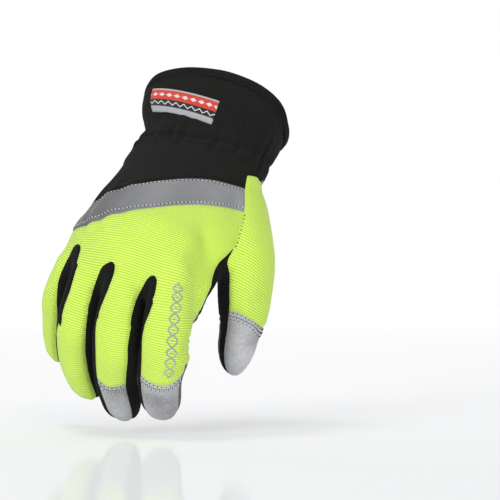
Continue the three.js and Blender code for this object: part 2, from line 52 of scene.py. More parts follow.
def unit(v):
    v = np.asarray(v, float)
    return v / np.linalg.norm(v, axis=-1, keepdims=True)


def lerp(a, b, t):
    return a + (b - a) * t


def smoothstep(x, low, high):
    t = np.clip((x - low) / (high - low), 0, 1)
    return t * t * (3 - 2 * t)


def dot(a, b):
    return np.sum(a * b, axis=-1)


def hill(x, centre, width):
    """A smooth rise to 1 round a centre."""
    return np.exp(-(((x - centre) / width) ** 2))


def lowest(*values):
    return np.minimum.reduce(values)


def highest(*values):
    return np.maximum.reduce(values)


def mesh_object(name, points, faces, look=None):
    """A smooth mesh in the scene, from points in metres."""
    mesh = bpy.data.meshes.new(name)
    mesh.from_pydata(points, [], faces)
    mesh.polygons.foreach_set("use_smooth", [True] * len(mesh.polygons))
    if look:
        mesh.materials.append(look)
    thing = bpy.data.objects.new(name, mesh)
    bpy.context.collection.objects.link(thing)
    return thing


# The hand form
CUFF_AXIS = unit([0.33, 0.5, 0.8])
HAND_AXIS = unit([-0.41, -0.7, -0.58])
THUMBWARD = unit([0.908, -0.373, -0.191])
FINGER_AXIS = unit([-0.16, 0.05, -0.98])
WRIST_BEND = 16
KNUCKLES = (60, 92)
RIM = dict(back=53, side=41, palm=35, turn=-8, dip=6, dip_at=-125, dip_spread=30)

# Sections of the body: the distance from the wrist, the reach to the little finger side and the thumb side,
# the depths of back and palm, and the lift, arch and squareness
BODY = np.array([
    (-60, 47, 43, 26.5, 25, 0, 0, 2.35),
    (-41, 46.5, 42.5, 25.5, 25, 0, 0, 2.4),
    (-30, 44, 41.5, 24, 23, 0, 0, 2.4),
    (-19, 38, 40.5, 21.5, 21, 0, 0, 2.1),
    (-8, 40.5, 40.5, 21.5, 20.5, 0, 0, 2.1),
    (6, 40, 40, 21, 20, 0, 0, 2.1),
    (22, 40.5, 37, 19, 20, 0, 2, 2.2),
    (40, 42, 36, 17.5, 19, 0, 4, 2.25),
    (56, 41.5, 35.5, 17, 17, 0, 6, 2.3),
    (70, 41, 34, 16, 16, 0, 7, 2.3),
    (80, 38, 31, 13.5, 13, -1, 6, 2.3),
    (90, 33, 27, 8, 8, -3, 5, 2.3),
])
# Limbs: the points of the centre line, the angle that the back faces, half the width and half the depth
LIMBS = {
    "index": ([(0, -39, -34), (-8, -56, -48), (-12.8, -60, -92), (-17, -46.5, -113.5), (-16.5, -30, -135)],
              10, 12.8, 12),
    "middle": ([(-19, -32, -30), (-29, -49, -44), (-40, -50, -90.5), (-41.5, -34, -114), (-36, -18, -136.5)],
               24, 12.6, 12),
    "ring": ([(-34, -21, -26), (-45.5, -36, -39), (-61, -35, -83), (-62, -20, -105.5), (-56, -4, -126)],
             36, 11.9, 11.4),
    "little": ([(-45, -9, -24), (-56, -21, -36), (-72, -15, -70.5), (-75, -2.5, -89), (-75.5, 11.5, -107)],
               52, 10.6, 10.4),
    "thumb": ([(15, 0, 5), (26, -14, -20), (28.8, -33, -52), (26.8, -27, -82), (21, -17, -114)],
              -42, 14.2, 13.4),
    "web": ([(10, -16, -14), (13, -38, -38), (8, -46, -54), (2, -55, -68), (-1.5, -57, -84)], -32, 10, 10),
}
# Sections of the limbs: the number of the centre line's point, and the shares of width, back and palm there
FINGER = np.array([
    (0, 0.7, 0.75, 0.75), (0.6, 0.88, 0.98, 0.95), (1, 0.92, 1.07, 1.05), (1.4, 0.94, 1.05, 1.1),
    (2, 1.02, 1.05, 0.94), (2.45, 0.97, 0.96, 1.06), (3, 0.92, 0.96, 0.9), (3.4, 0.88, 0.86, 0.94),
])
THUMB = np.array([
    (0, 0.7, 0.75, 0.9), (0.5, 0.86, 0.85, 1.1), (1, 0.98, 0.95, 1.25), (1.5, 1.06, 1, 1.2),
    (2, 1.12, 1.04, 1.08), (2.5, 1.06, 0.97, 1.03), (3, 0.92, 0.9, 0.9), (3.3, 0.74, 0.72, 0.92),
])
WEB = np.array([(0, 1.1, 1, 1), (1, 1.8, 1.2, 1.1), (2, 0.95, 0.85, 0.9), (3, 0.65, 0.65, 0.7)])
PROFILES = {"thumb": THUMB, "web": WEB}
LAST_POINT = 4
LIMB_SQUARE = 2.25


def curve(keys, values, x):
    """A smooth look-up through the table's rows."""
    keys, values = np.asarray(keys, float), np.asarray(values, float)
    slope = np.gradient(values, keys)
    step = np.clip(np.searchsorted(keys, x) - 1, 0, len(keys) - 2)
    width = keys[step + 1] - keys[step]
    t = np.clip((x - keys[step]) / width, 0, 1)
    a, b = values[step], values[step + 1]
    m, n = slope[step] * width, slope[step + 1] * width
    return ((2 * t**3 - 3 * t**2 + 1) * a + (t**3 - 2 * t**2 + t) * m
            + (3 * t**2 - 2 * t**3) * b + (t**3 - t**2) * n)


def centripetal(points, t):
    """Point and direction on the same curve as the solids' centre lines, at 0 to 1."""
    p = np.asarray(points, float)
    p = np.vstack([2 * p[0] - p[1], p, 2 * p[-1] - p[-2]])
    spans = len(p) - 3
    s = np.clip(np.asarray(t, float) * spans, 0, spans - 1e-9)
    i = s.astype(int)
    w = (s - i)[:, None]
    p0, p1, p2, p3 = p[i], p[i + 1], p[i + 2], p[i + 3]
    d0, d1, d2 = (np.sqrt(np.linalg.norm(b - a, axis=1))[:, None] for a, b in ((p0, p1), (p1, p2), (p2, p3)))
    t1 = ((p1 - p0) / d0 - (p2 - p0) / (d0 + d1) + (p2 - p1) / d1) * d1
    t2 = ((p2 - p1) / d1 - (p3 - p1) / (d1 + d2) + (p3 - p2) / d2) * d1
    c2, c3 = -3 * p1 + 3 * p2 - 2 * t1 - t2, 2 * p1 - 2 * p2 + t1 + t2
    return p1 + t1 * w + c2 * w**2 + c3 * w**3, unit(t1 + 2 * c2 * w + 3 * c3 * w**2)


def body_frame(along):
    """The middle, the directions and the sizes of the body's section at distances from the wrist."""
    along = np.asarray(along, float)
    turned = smoothstep(along, -WRIST_BEND, WRIST_BEND)[:, None]
    down = np.clip((along - KNUCKLES[0]) / (KNUCKLES[1] - KNUCKLES[0]), 0, 1)[:, None]
    beyond = unit(lerp(HAND_AXIS, FINGER_AXIS, down))
    forward = unit(lerp(-CUFF_AXIS, beyond, turned))
    across = unit(THUMBWARD - forward * (forward @ THUMBWARD)[:, None])
    up = unit(np.cross(forward, across))
    size = [curve(BODY[:, 0], BODY[:, column], along) for column in range(1, 8)]
    centre = CUFF_AXIS * np.maximum(-along, 0)[:, None] + HAND_AXIS * np.clip(along, 0, KNUCKLES[0])[:, None]
    centre += unit(HAND_AXIS + beyond) * np.maximum(along - KNUCKLES[0], 0)[:, None]
    return dict(centre=centre + up * size[4][:, None], across=across, up=up, forward=forward, little=size[0],
                thumb=size[1], back=size[2], palm=size[3], arch=size[5], square=size[6])


def limb_frame(name, at):
    """The middle, the directions and the sizes of a limb's section, for the numbers of its points."""
    points, faces, width, depth = LIMBS[name]
    at = np.asarray(at, float)
    centre, forward = centripetal(points, np.clip(at, 0, LAST_POINT) / LAST_POINT)
    turn = math.radians(faces)
    up = np.array([-math.sin(turn), -math.cos(turn), 0.0])
    up = unit(up - forward * (forward @ up)[:, None])
    across = unit(np.cross(up, forward))
    profile = PROFILES.get(name, FINGER)
    cap = profile[-1, 0]
    round_off = np.sqrt(np.clip(1 - (np.maximum(at - cap, 0) / (LAST_POINT - cap)) ** 2, 1e-6, 1))
    rows = profile[:, 0]
    side, back, palm = (curve(rows, profile[:, k], np.minimum(at, cap)) * round_off for k in (1, 2, 3))
    none = np.zeros_like(at)
    return dict(centre=centre, across=across, up=up, forward=forward, little=width * side, arch=none,
                thumb=width * side, back=depth * back, palm=depth * palm, square=none + LIMB_SQUARE)


def section_point(f, angle, grow=0.0):
    """A point round a section; angle in degrees."""
    x, y = np.sin(np.radians(angle)), np.cos(np.radians(angle))
    rounding = (np.abs(x) ** f["square"] + np.abs(y) ** f["square"]) ** (-1 / f["square"])
    reach = np.where(x < 0, f["little"], f["thumb"]) + grow
    depth = np.where(y < 0, f["palm"], f["back"]) + grow
    side, high = x * rounding * reach, y * rounding * depth - f["arch"] * (x * rounding) ** 2
    return f["centre"] + f["across"] * side[:, None] + f["up"] * high[:, None]


def section_angle(f, points):
    """The angle and the share of the section's radius of points in the section's plane."""
    d = points - f["centre"]
    x, y = dot(d, f["across"]), dot(d, f["up"])
    x = x / np.where(x < 0, f["little"], f["thumb"])
    y = y + f["arch"] * x**2
    y = y / np.where(y < 0, f["palm"], f["back"])
    share = (np.abs(x) ** f["square"] + np.abs(y) ** f["square"]) ** (1 / f["square"])
    return np.degrees(np.arctan2(x, y)), share


def rim_at(angle):
    """How far the rim is from the wrist, round the cuff; angle in degrees."""
    facing = np.cos(np.radians(angle - RIM["turn"]))
    turn = (angle - RIM["dip_at"] + 180) % 360 - 180
    end = np.where(facing > 0, RIM["back"], RIM["palm"])
    dip = RIM["dip"] * hill(turn, 0, RIM["dip_spread"])
    return RIM["side"] + (end - RIM["side"]) * np.abs(facing) - dip


def quads(rings, sides, closed=False):
    """The faces between rings of points, numbered ring by ring; closed joins the last ring to the first."""
    faces = []
    for r in range(rings if closed else rings - 1):
        for s in range(sides):
            low, high, n = r * sides, (r + 1) % rings * sides, (s + 1) % sides
            faces.append((low + s, low + n, high + n, high + s))
    return faces


def tube_mesh(rings, start, end):
    """Vertices and faces of a tube of rings of points, closed to a point at each end."""
    count, sides = len(rings), len(rings[0])
    last = (count - 1) * sides
    faces = quads(count, sides)
    faces += [((s + 1) % sides, s, count * sides) for s in range(sides)]
    faces += [(last + s, last + (s + 1) % sides, count * sides + 1) for s in range(sides)]
    return np.vstack([*rings, start, end]), faces


BODY_FROM, BODY_TO = -66, 95
KNUCKLE_SKEW = 5


def body_mesh():
    angle = np.linspace(0, 360, 96, endpoint=False)
    rings = []
    for along in [*np.arange(-62, 88, 2.0), 88, 90]:
        skew = KNUCKLE_SKEW * np.sin(np.radians(angle)) * smoothstep(along, 30, 60)
        rings.append(section_point(body_frame(along + skew), angle))
    return tube_mesh(rings, *body_frame(np.array([-64.0, BODY_TO]))["centre"])


def limb_mesh(name):
    angle = np.linspace(0, 360, 40, endpoint=False)
    cap = PROFILES.get(name, FINGER)[-1, 0]
    stations = [*np.arange(0, cap, 0.08), *(cap + (LAST_POINT - cap) * np.sin(np.linspace(0, 1.5, 12)))]
    rings = [section_point(limb_frame(name, np.full(len(angle), at)), angle) for at in stations]
    return tube_mesh(rings, *limb_frame(name, np.array([0.0, LAST_POINT]))["centre"])


def remeshed(parts, voxel):
    """One skin round all the tubes, as vertices and triangles."""
    verts, faces, start = [], [], 0
    for v, f in parts:
        verts.append(v)
        faces += [tuple(i + start for i in face) for face in f]
        start += len(v)
    thing = mesh_object("form", np.vstack(verts).tolist(), faces)
    change = thing.modifiers.new("voxels", "REMESH")
    change.mode = "VOXEL"
    change.voxel_size = voxel
    made = thing.evaluated_get(bpy.context.evaluated_depsgraph_get()).to_mesh()
    made.calc_loop_triangles()
    points = np.empty((len(made.vertices), 3), np.float32)
    made.vertices.foreach_get("co", points.ravel())
    tris = np.empty((len(made.loop_triangles), 3), np.int32)
    made.loop_triangles.foreach_get("vertices", tris.ravel())
    bpy.data.objects.remove(thing)
    return points.astype(float), tris


def sides_of(tris):
    return np.vstack([tris[:, [0, 1]], tris[:, [1, 2]], tris[:, [2, 0]]])


def edges_of(tris):
    """Each edge of the triangles once, as its two points."""
    return np.unique(np.sort(sides_of(tris), axis=1), axis=0)


def smoothed(verts, tris, weight, rounds):
    """Moves points half way to the mean of their neighbours, by their weights, a number of times."""
    e = edges_of(tris)
    count = np.bincount(e.ravel(), minlength=len(verts)).astype(float)[:, None]
    v = verts.copy()
    for _ in range(rounds):
        total = np.zeros_like(v)
        for k in range(3):
            total[:, k] = np.bincount(e[:, 0], v[e[:, 1], k], len(v))
            total[:, k] += np.bincount(e[:, 1], v[e[:, 0], k], len(v))
        v += (total / count - v) * 0.5 * weight[:, None]
    return v


def normals_of(verts, tris):
    a, b, c = (verts[tris[:, k]] for k in range(3))
    n = np.cross(b - a, c - a)
    out = np.zeros_like(verts)
    for k in range(3):
        for axis in range(3):
            out[:, axis] += np.bincount(tris[:, k], n[:, axis], len(verts))
    return unit(out)


CHUNK = 8000
BEYOND_END = 12


def places(points, frames, keys):
    """Where points lie along a tube: their key, their angle and their share of the radius. Of all sections
    whose plane passes through a point, the one with the smallest share counts."""
    best = np.full(len(points), np.inf)
    key, angle = np.zeros(len(points)), np.zeros(len(points))
    for start in range(0, len(points), CHUNK):
        p = points[start:start + CHUNK]
        s = p @ frames["forward"].T - np.sum(frames["centre"] * frames["forward"], 1)
        rows, cols = np.nonzero((s[:, :-1] >= 0) & (s[:, 1:] < 0))
        t = s[rows, cols] / (s[rows, cols] - s[rows, cols + 1])
        mixed = {n: lerp(f[cols], f[cols + 1], t[:, None] if f.ndim == 2 else t) for n, f in frames.items()}
        a, share = section_angle(mixed, p[rows])
        order = np.argsort(-share)
        rows, share, a, k = rows[order], share[order], a[order], lerp(keys[cols], keys[cols + 1], t)[order]
        best[start + rows], key[start + rows], angle[start + rows] = share, k, a
        for end, out in ((0, s[:, 0] < 0), (-1, s[:, -1] >= 0)):
            index = np.nonzero(out & np.isinf(best[start:start + len(p)]))[0]
            if len(index):
                f = {n: np.repeat(f[[end]], len(index), 0) for n, f in frames.items()}
                a, share = section_angle(f, p[index])
                best[start + index] = np.maximum(share, 1) + np.abs(s[index, end]) / BEYOND_END
                key[start + index] = keys[end]
                angle[start + index] = a
    return key, angle, best


# The seams. First the edges of each finger's back: at, the number of the centre line's point, and the angles
# of its little finger side and its thumb side
EDGES = {
    "index": [(1.3, -27, 108), (1.5, -30, 108), (1.67, -42, 108), (1.85, -62, 120), (2.05, -63, 124),
              (2.2, -58, 120), (2.31, -55, 108), (2.38, -52, 94), (2.5, -49, 88), (2.8, -43, 84),
              (3.1, -47, 80), (3.4, -46, 76)],
    "middle": [(1.3, -20, 66), (1.5, -22, 65), (1.65, -34, 60), (1.81, -45, 56), (2.03, -34, 55),
               (2.2, -29, 59), (2.55, -26, 60), (2.8, -27, 58), (3.07, -25, 57), (3.4, -26, 52)],
    "ring": [(1.3, -28, 50), (1.5, -20, 52), (1.65, -15, 53), (1.8, -19, 55), (1.95, -22, 58),
             (2.15, -42, 63), (2.4, -54, 66), (2.65, -54, 69), (3.08, -54, 66), (3.4, -54, 62)],
    "little": [(1.3, -112, 30), (1.5, -112, 21), (1.7, -112, 22), (1.9, -112, 34), (2.14, -112, 46),
               (2.4, -112, 50), (2.8, -112, 50), (3.4, -112, 48)],
    "thumb": [(0.6, -8, 104), (0.77, -17.5, 104), (1.08, -33.5, 104), (1.46, -48, 104), (1.66, -54.5, 104),
              (1.8, -58, 104), (1.92, -64.4, 104), (2, -71, 104), (2.2, -75, 104), (2.75, -77, 104),
              (3.1, -84, 104), (3.3, -92, 104)],
}
# The grey caps' upper edges: angle, at
CAPS = {
    "index": [(-60, 2.74), (-15, 2.76), (11, 2.78), (35, 2.75), (56, 2.68), (80, 2.58)],
    "middle": [(-40, 2.74), (-27, 2.76), (-9, 2.82), (6, 2.86), (24, 2.85), (41, 2.82), (60, 2.8)],
    "thumb": [(-90, 2.74), (-50, 2.75), (-19, 2.87), (14, 3.03), (60, 3.1), (110, 3.1)],
}
# The smooth pads' upper edges
PADS = {"index": 3.0, "thumb": 2.95}
# The reflective band's edges: angle, and the distances along the body
BAND = [(-118, 51, 61), (-82, 50.2, 64.5), (-55, 49, 68.2), (-38, 45.6, 67.5), (-23, 42.4, 65.2),
        (-9, 37.8, 62.4), (10, 31.4, 56.7), (27, 25.8, 48.7), (40, 22.1, 42.4), (54, 18.5, 36.6),
        (75, 12.5, 28.5), (104, 6, 20)]
# The upper edge of the thumb's back on the hand: angle, along
THUMB_TOP = [(52, 12), (64, 6), (76, 1.4), (92, 0), (98, -1), (120, -3)]
# The edge between the web's yellow back and its black side: at, angle
WEB_EDGE = [(0, 18), (1.1, 18), (1.39, 16), (1.62, 11), (1.79, 6), (2, 2), (2.3, 10), (2.54, 26), (3, 50),
            (3.6, 70)]
# The slots between the fingers, seen from straight behind: across, up
SLOTS = {
    "index_middle": [(-19.6, -57.6), (-21.4, -57.8), (-23.2, -59.6), (-25.1, -62.8), (-28.3, -70),
                     (-30.6, -77.3), (-31.4, -84.6), (-26, -86.4), (-24.2, -79.1), (-21.5, -72.7),
                     (-19.2, -67.3), (-18.1, -61.5), (-18.3, -59)],
    "middle_ring": [(-41.8, -50.6), (-43.6, -50.6), (-48, -53.5), (-51.1, -60.7), (-53.8, -70.3),
                    (-55.3, -77.3), (-50.4, -80.7), (-49, -75.6), (-46.5, -70), (-43.3, -62.6),
                    (-41, -56.3), (-40.6, -52.2)],
    "ring_little": [(-61.6, -41.2), (-63.2, -41.2), (-65.2, -42.6), (-67.6, -47.2), (-70.9, -53.9),
                    (-72.4, -61.3), (-73.3, -68.7), (-73.3, -76.1), (-71.9, -85.2), (-70.6, -82),
                    (-70.3, -75.2), (-69.1, -70.6), (-67.2, -65.9), (-64.4, -57.6), (-62.1, -49.2),
                    (-60.6, -44.2), (-60.7, -42.2)],
}
# The palm's lower end, along, and the angles of the sides of the hand's back
HEEL = -5
BODY_EDGES = (-112, 98)


def column(table, x, at=1):
    """A column of a table, smooth between its rows and level beyond them."""
    rows = np.array(table, float)
    return curve(rows[:, 0], rows[:, at], np.clip(x, rows[0, 0], rows[-1, 0]))


def around(angle, low, high, radius):
    """How far inside a range of angles, in millimetres at a radius."""
    return np.minimum(angle - low, high - angle) * radius * math.pi / 180


def outline_depth(outline, points):
    """How far points are inside a closed outline, rounded through its corners."""
    ring = np.asarray(outline, float)
    p0, p1, p2, p3 = (np.roll(ring, k, 0) for k in (1, 0, -1, -2))
    fine = []
    for t in np.linspace(0, 1, 6)[:-1]:
        fine.append(0.5 * (2 * p1 + (p2 - p0) * t + (2 * p0 - 5 * p1 + 4 * p2 - p3) * t**2
                           + (3 * p1 - p0 - 3 * p2 + p3) * t**3))
    ring = np.stack(fine, 1).reshape(-1, 2)
    best, inside = np.full(len(points), np.inf), np.zeros(len(points), bool)
    for a, b in zip(ring, np.roll(ring, -1, 0)):
        d = b - a
        t = np.clip((points - a) @ d / (d @ d), 0, 1)
        best = np.minimum(best, np.linalg.norm(points - a - t[:, None] * d, axis=1))
        spans = (a[1] > points[:, 1]) != (b[1] > points[:, 1])
        if a[1] != b[1]:
            inside ^= spans & (points[:, 0] < (b[0] - a[0]) * (points[:, 1] - a[1]) / (b[1] - a[1]) + a[0])
    return np.where(inside, best, -best)


def split(data, tris, field):
    """Cuts a skin along the line where a column of its data is 0: the part above it, and the rest."""
    value = data[:, field].copy()
    value[np.abs(value) < 1e-6] = 1e-6
    above = value > 0
    count = above[tris].sum(1)
    kept, rest = [tris[count == 3]], [tris[count == 0]]
    for odd_is_above in (True, False):
        t = tris[count == (1 if odd_is_above else 2)]
        if not len(t):
            continue
        odd = np.argmax(above[t] == odd_is_above, axis=1)
        rows = np.arange(len(t))
        o, a, b = t[rows, odd], t[rows, (odd + 1) % 3], t[rows, (odd + 2) % 3]
        pairs = np.sort(np.vstack([np.stack([o, a], 1), np.stack([o, b], 1)]), axis=1)
        unique, index = np.unique(pairs, axis=0, return_inverse=True)
        index = index.ravel()
        p, q = unique[:, 0], unique[:, 1]
        share = (value[p] / (value[p] - value[q]))[:, None]
        start = len(data)
        data = np.vstack([data, data[p] * (1 - share) + data[q] * share])
        value = np.append(value, np.zeros(len(unique)))
        above = np.append(above, np.zeros(len(unique), bool))
        m, n = start + index[:len(t)], start + index[len(t):]
        (kept if odd_is_above else rest).append(np.stack([o, m, n], 1))
        (rest if odd_is_above else kept).extend([np.stack([m, a, b], 1), np.stack([m, b, n], 1)])
    return data, np.vstack(kept), np.vstack(rest)


# The skin and its coordinates
NAMES = ["index", "middle", "ring", "little", "thumb", "web"]
FINGERS = NAMES[:4]
BODY_DEPTH = 20
KNUCKLE_ROUNDS, JOIN_ROUNDS = 160, 14
verts, tris = remeshed([body_mesh()] + [limb_mesh(n) for n in NAMES], VOXEL)


def coordinates(points):
    """Key, angle and distance outside, for the body and each limb."""
    keys = np.arange(BODY_FROM, BODY_TO + 1.0)
    k, a, share = places(points, body_frame(keys), keys)
    where = {"body": (k, a, (share - 1) * BODY_DEPTH)}
    for name in NAMES:
        cap = PROFILES.get(name, FINGER)[-1, 0]
        keys = np.append(np.arange(0, cap, 0.05), cap)
        k, a, share = places(points, limb_frame(name, keys), keys)
        where[name] = (k, a, (share - 1) * LIMBS[name][3])
    return where


where = coordinates(verts)
outside = np.stack([where[n][2] for n in ["body"] + NAMES])
ordered = np.sort(outside, axis=0)
near_join = hill(ordered[1], ordered[0], 3.5)
# The back of the hand runs smoothly over the knuckles into the fingers, and the slots' tops are filled up
past_knuckles = np.min([np.abs(where[n][0] - 1.15) for n in FINGERS], axis=0)
knuckles = smoothstep(-past_knuckles, -0.5, -0.2) * smoothstep(8 - outside[0], 0, 5)
knuckles = knuckles * smoothstep(where["body"][0], 58, 70)
verts = smoothed(verts, tris, np.ones(len(verts)), 3)
verts = smoothed(verts, tris, knuckles, KNUCKLE_ROUNDS)
verts = smoothed(verts, tris, near_join * 0.9, JOIN_ROUNDS)
verts = smoothed(verts, tris, np.ones(len(verts)), 3)

where = coordinates(verts)
along, angle, off_body = where["body"]
normal = normals_of(verts, tris)


def nearest(name, spare=1.0):
    """How much nearer a tube is than the others, in millimetres, plus some to spare."""
    others = np.min([where[n][2] for n in ["body"] + NAMES if n != name], axis=0)
    return others - where[name][2] + spare


def limb_range(name, low, high):
    """How far inside a range of angles round a limb, in millimetres."""
    return around(where[name][1], low, high, LIMBS[name][2])


def edge(name, side):
    """The angle of a finger's seam on its little finger side (0) or its thumb side (1)."""
    return column(EDGES[name], where[name][0], 1 + side)


def back_of(name):
    return limb_range(name, edge(name, 0), edge(name, 1))


# Folds, as heights in millimetres
ELASTIC = -12
ROLLS_FROM, ROLL_LENGTH, ROLLS_SLANT, ROLLS = 8, 15, 7, 3
CREASES = ((1.95, 0.9), (2.08, 1.0), (2.22, 0.7), (2.95, 0.7), (3.08, 0.6))
turned = np.radians(angle)
on_body = off_body < 3


def waves(points, size, seed):
    """A soft random unevenness from a few waves, between about -1 and 1."""
    turn = np.random.default_rng(seed)
    total = np.zeros(len(points))
    for _ in range(7):
        way = unit(turn.normal(size=3)) * 2 * math.pi / (size * turn.uniform(0.7, 1.5))
        total += np.sin(points @ way + turn.uniform(0, 6.28))
    return total / 3.2


def cuff_folds():
    """Pleats on both sides of the cuff's elastic, a soft unevenness, and the furrow of the elastic."""
    elastic = ELASTIC + 5.5 * np.cos(np.radians(angle + 15))
    pleat = np.cos(turned * 23 + 1.3 * np.sin(turned * 5)) + 0.6 * np.cos(turned * 37 + 2)
    folds = (0.55 * hill(along, elastic + 4, 6.5) + 0.35 * hill(along, elastic - 6, 9)) * pleat
    folds += 0.5 * waves(verts, 30, 8) * smoothstep(-along, 6, 16)
    return folds - 0.9 * hill(along, elastic, 2.2)


def palm_rolls():
    """Padded rolls across the palm."""
    width = np.sin(turned)
    on_palm = (np.cos(turned) < 0) * smoothstep(width, -0.78, -0.66) * smoothstep(-width, -0.92, -0.8)
    rolls = np.clip((along - ROLLS_FROM + ROLLS_SLANT * width) / ROLL_LENGTH, 0, ROLLS)
    return 1.1 * (0.5 - 0.5 * np.cos(2 * math.pi * rolls)) ** 0.6 * on_palm


def little_side_folds():
    """The knit drawn in below the wrist, and soft upright folds from there up through the band."""
    drawn_in = smoothstep(along, 9, 17) * smoothstep(-along, -46, -30) * hill(angle, -88, 25)
    pulled = hill(angle, -38, 24) * smoothstep(along, 28, 44) * smoothstep(-along, -78, -66)
    return 0.6 * pulled * np.sin(turned * 19 + along * 0.05) - 2.2 * drawn_in


def index_fold():
    """A fold across the index finger's side, under a stretch that is pressed in."""
    at, turn, _ = where["index"]
    side = smoothstep(turn, 40, 75) * smoothstep(-turn, -125, -105) * (nearest("index") > 0)
    return side * (0.9 * hill(at, 2.25, 0.07) - 0.7 * hill(at, 2.36, 0.04) - 2.4 * hill(at, 2.03, 0.2))


def joint_creases(name):
    """Creases across the front of a finger's joints, with a soft cushion between them."""
    at, turn, _ = where[name]
    front = smoothstep(-np.cos(np.radians(turn)), -0.1, 0.6) * (nearest(name) > 0)
    folds = 0.5 * hill(at, 2.5, 0.3)
    for joint, depth in CREASES:
        folds -= depth * hill(at, joint + 0.03 * np.sin(np.radians(turn) * 3 + joint * 5), 0.035)
    return folds * front


def pressed(name, toward, middle):
    """How far the side of a finger moves where the next finger presses against it."""
    at, turn, _ = where[name]
    close = hill(turn, middle, 45) * smoothstep(at, 1.35, 1.7) * smoothstep(-at, -3.1, -2.7)
    return toward * 0.85 * close * (nearest(name, 0.5) > 0)


shift = 0.28 * waves(verts, 26, 3) + (cuff_folds() + palm_rolls() + little_side_folds()) * on_body
shift += index_fold()
for name in FINGERS + ["thumb"]:
    shift += joint_creases(name)
verts = verts + normal * shift[:, None]
verts[:, 0] += pressed("index", -1, -85) + pressed("middle", 1, 80)
normal = normals_of(verts, tris)

# The fields of the sewn pieces: how far inside its edges a point is, in millimetres
BODY_RADIUS = 34
# How far inside the rim the skin is cut, the width over which the hand's back gives way to the thumb's, and
# how far from both fingers the back's cloth fills the top of a slot
RIM_CUT, THUMB_BLEND, SLOT_REACH = 2.2, 6, 13
# The length of one step along a limb, at the places where pieces begin
STEP = {"tip": 27, "strip": 44, "finger": 40, "thumb": 35, "web": 22}
# Where the strips between the fingers end towards the palm: the angle on a finger's little finger side, and
# the angles on its thumb side
STRIP_START = -118
STRIP_ENDS = {"middle": 112, "ring": 112, "little": 116}


def past(name, start, step):
    """How far a point is past a place along a limb."""
    return (where[name][0] - start) * STEP[step]


def in_front(name, middle, half, radius):
    """How far a point is inside a stretch on the palm side of a limb."""
    return (half - np.abs((where[name][1] % 360) - middle)) * radius * math.pi / 180


def strip(name, little_side, start):
    """The side of a finger that belongs to the strip in the slot beside it."""
    low, high = (STRIP_START, edge(name, 0)) if little_side else (edge(name, 1), STRIP_ENDS[name])
    return lowest(limb_range(name, low, high), past(name, start, "strip"), nearest(name))


seen = verts[:, [0, 2]]
across_back = around(angle, *BODY_EDGES, BODY_RADIUS)
band_low, band_high = (column(BAND, angle, side) for side in (1, 2))
above_band = along - band_high + 0.5
web_edge = column(WEB_EDGE, where["web"][0])
thumb_share = np.clip((off_body - where["thumb"][2]) / THUMB_BLEND + 0.5, 0, 1)
thumb_right = lerp(around(angle, -400, BODY_EDGES[1], BODY_RADIUS), limb_range("thumb", -400, 104),
                   thumb_share)
thumb_top = lerp(along - column(THUMB_TOP, angle), np.full(len(verts), 20.0), thumb_share)
thumb_zone = lowest(limb_range("thumb", edge("thumb", 0), 140), thumb_right, where["thumb"][0] * 30 - 6,
                    thumb_top)
by_thumb = lowest(around(angle, 40, 120, BODY_RADIUS), 8 - off_body, 60 - along)
fields = {
    "rim": -(along + rim_at(angle) - RIM_CUT),
    "thumb_back": lowest(thumb_zone, highest(nearest("thumb", 2.5), by_thumb)),
    "cuff": np.where(off_body < 12, highest(HEEL - along, lowest(across_back, band_low - along)), -9),
    "reflective_band": lowest(along - band_low, band_high - along, across_back, 6 - off_body),
    "thumb_front": lowest(in_front("thumb", 166, 70, 14), past("thumb", 1.05, "thumb"), nearest("thumb", 1)),
    "web_gusset": highest(
        lowest(limb_range("thumb", -132, edge("thumb", 0)), past("thumb", 1.35, "thumb"), nearest("thumb")),
        lowest(limb_range("web", web_edge, 175), past("web", 0.8, "web"), nearest("web", 5))),
}
for name, start in PADS.items():
    front = in_front(name, 180, 56, LIMBS[name][2])
    fields[name + "_pad"] = lowest(front, past(name, start, "tip"), nearest(name, 3))
for name, spare in (("thumb", 3), ("index", 2), ("middle", 2)):
    past_edge = past(name, column(CAPS[name], where[name][1]), "tip")
    fields[name + "_tip"] = lowest(back_of(name), past_edge, nearest(name, spare))

above_slots = []
for one, other, start in (("index", "middle", 1.55), ("middle", "ring", 1.4), ("ring", "little", 1.4)):
    mid = (limb_frame(one, where[one][0])["centre"] + limb_frame(other, where[other][0])["centre"]) / 2
    behind = mid[:, 1] + 3 - verts[:, 1]
    slot = lowest(outline_depth(SLOTS[f"{one}_{other}"], seen), behind)
    fields[f"strip_{one}_{other}"] = highest(strip(one, True, start), strip(other, False, start), slot)
    beside = SLOT_REACH - highest(where[one][2], where[other][2])
    above_slots.append(lowest(behind, beside, (0.3 - normal[:, 1]) * 20, -past(one, 2, "finger"),
                              past(one, 0.7, "finger")))

fingers_back = [lowest(back_of(n), past(n, 0.7, "finger"), nearest(n, 3)) for n in FINGERS]
body_back = lowest(across_back, nearest("body", 4), above_band)
beside_thumb = lowest(across_back, 46 - along, 9 - off_body, above_band)
web_back = lowest(limb_range("web", -120, web_edge), nearest("web", 3))
fields["back_panel"] = highest(body_back, beside_thumb, web_back, *fingers_back, *above_slots)


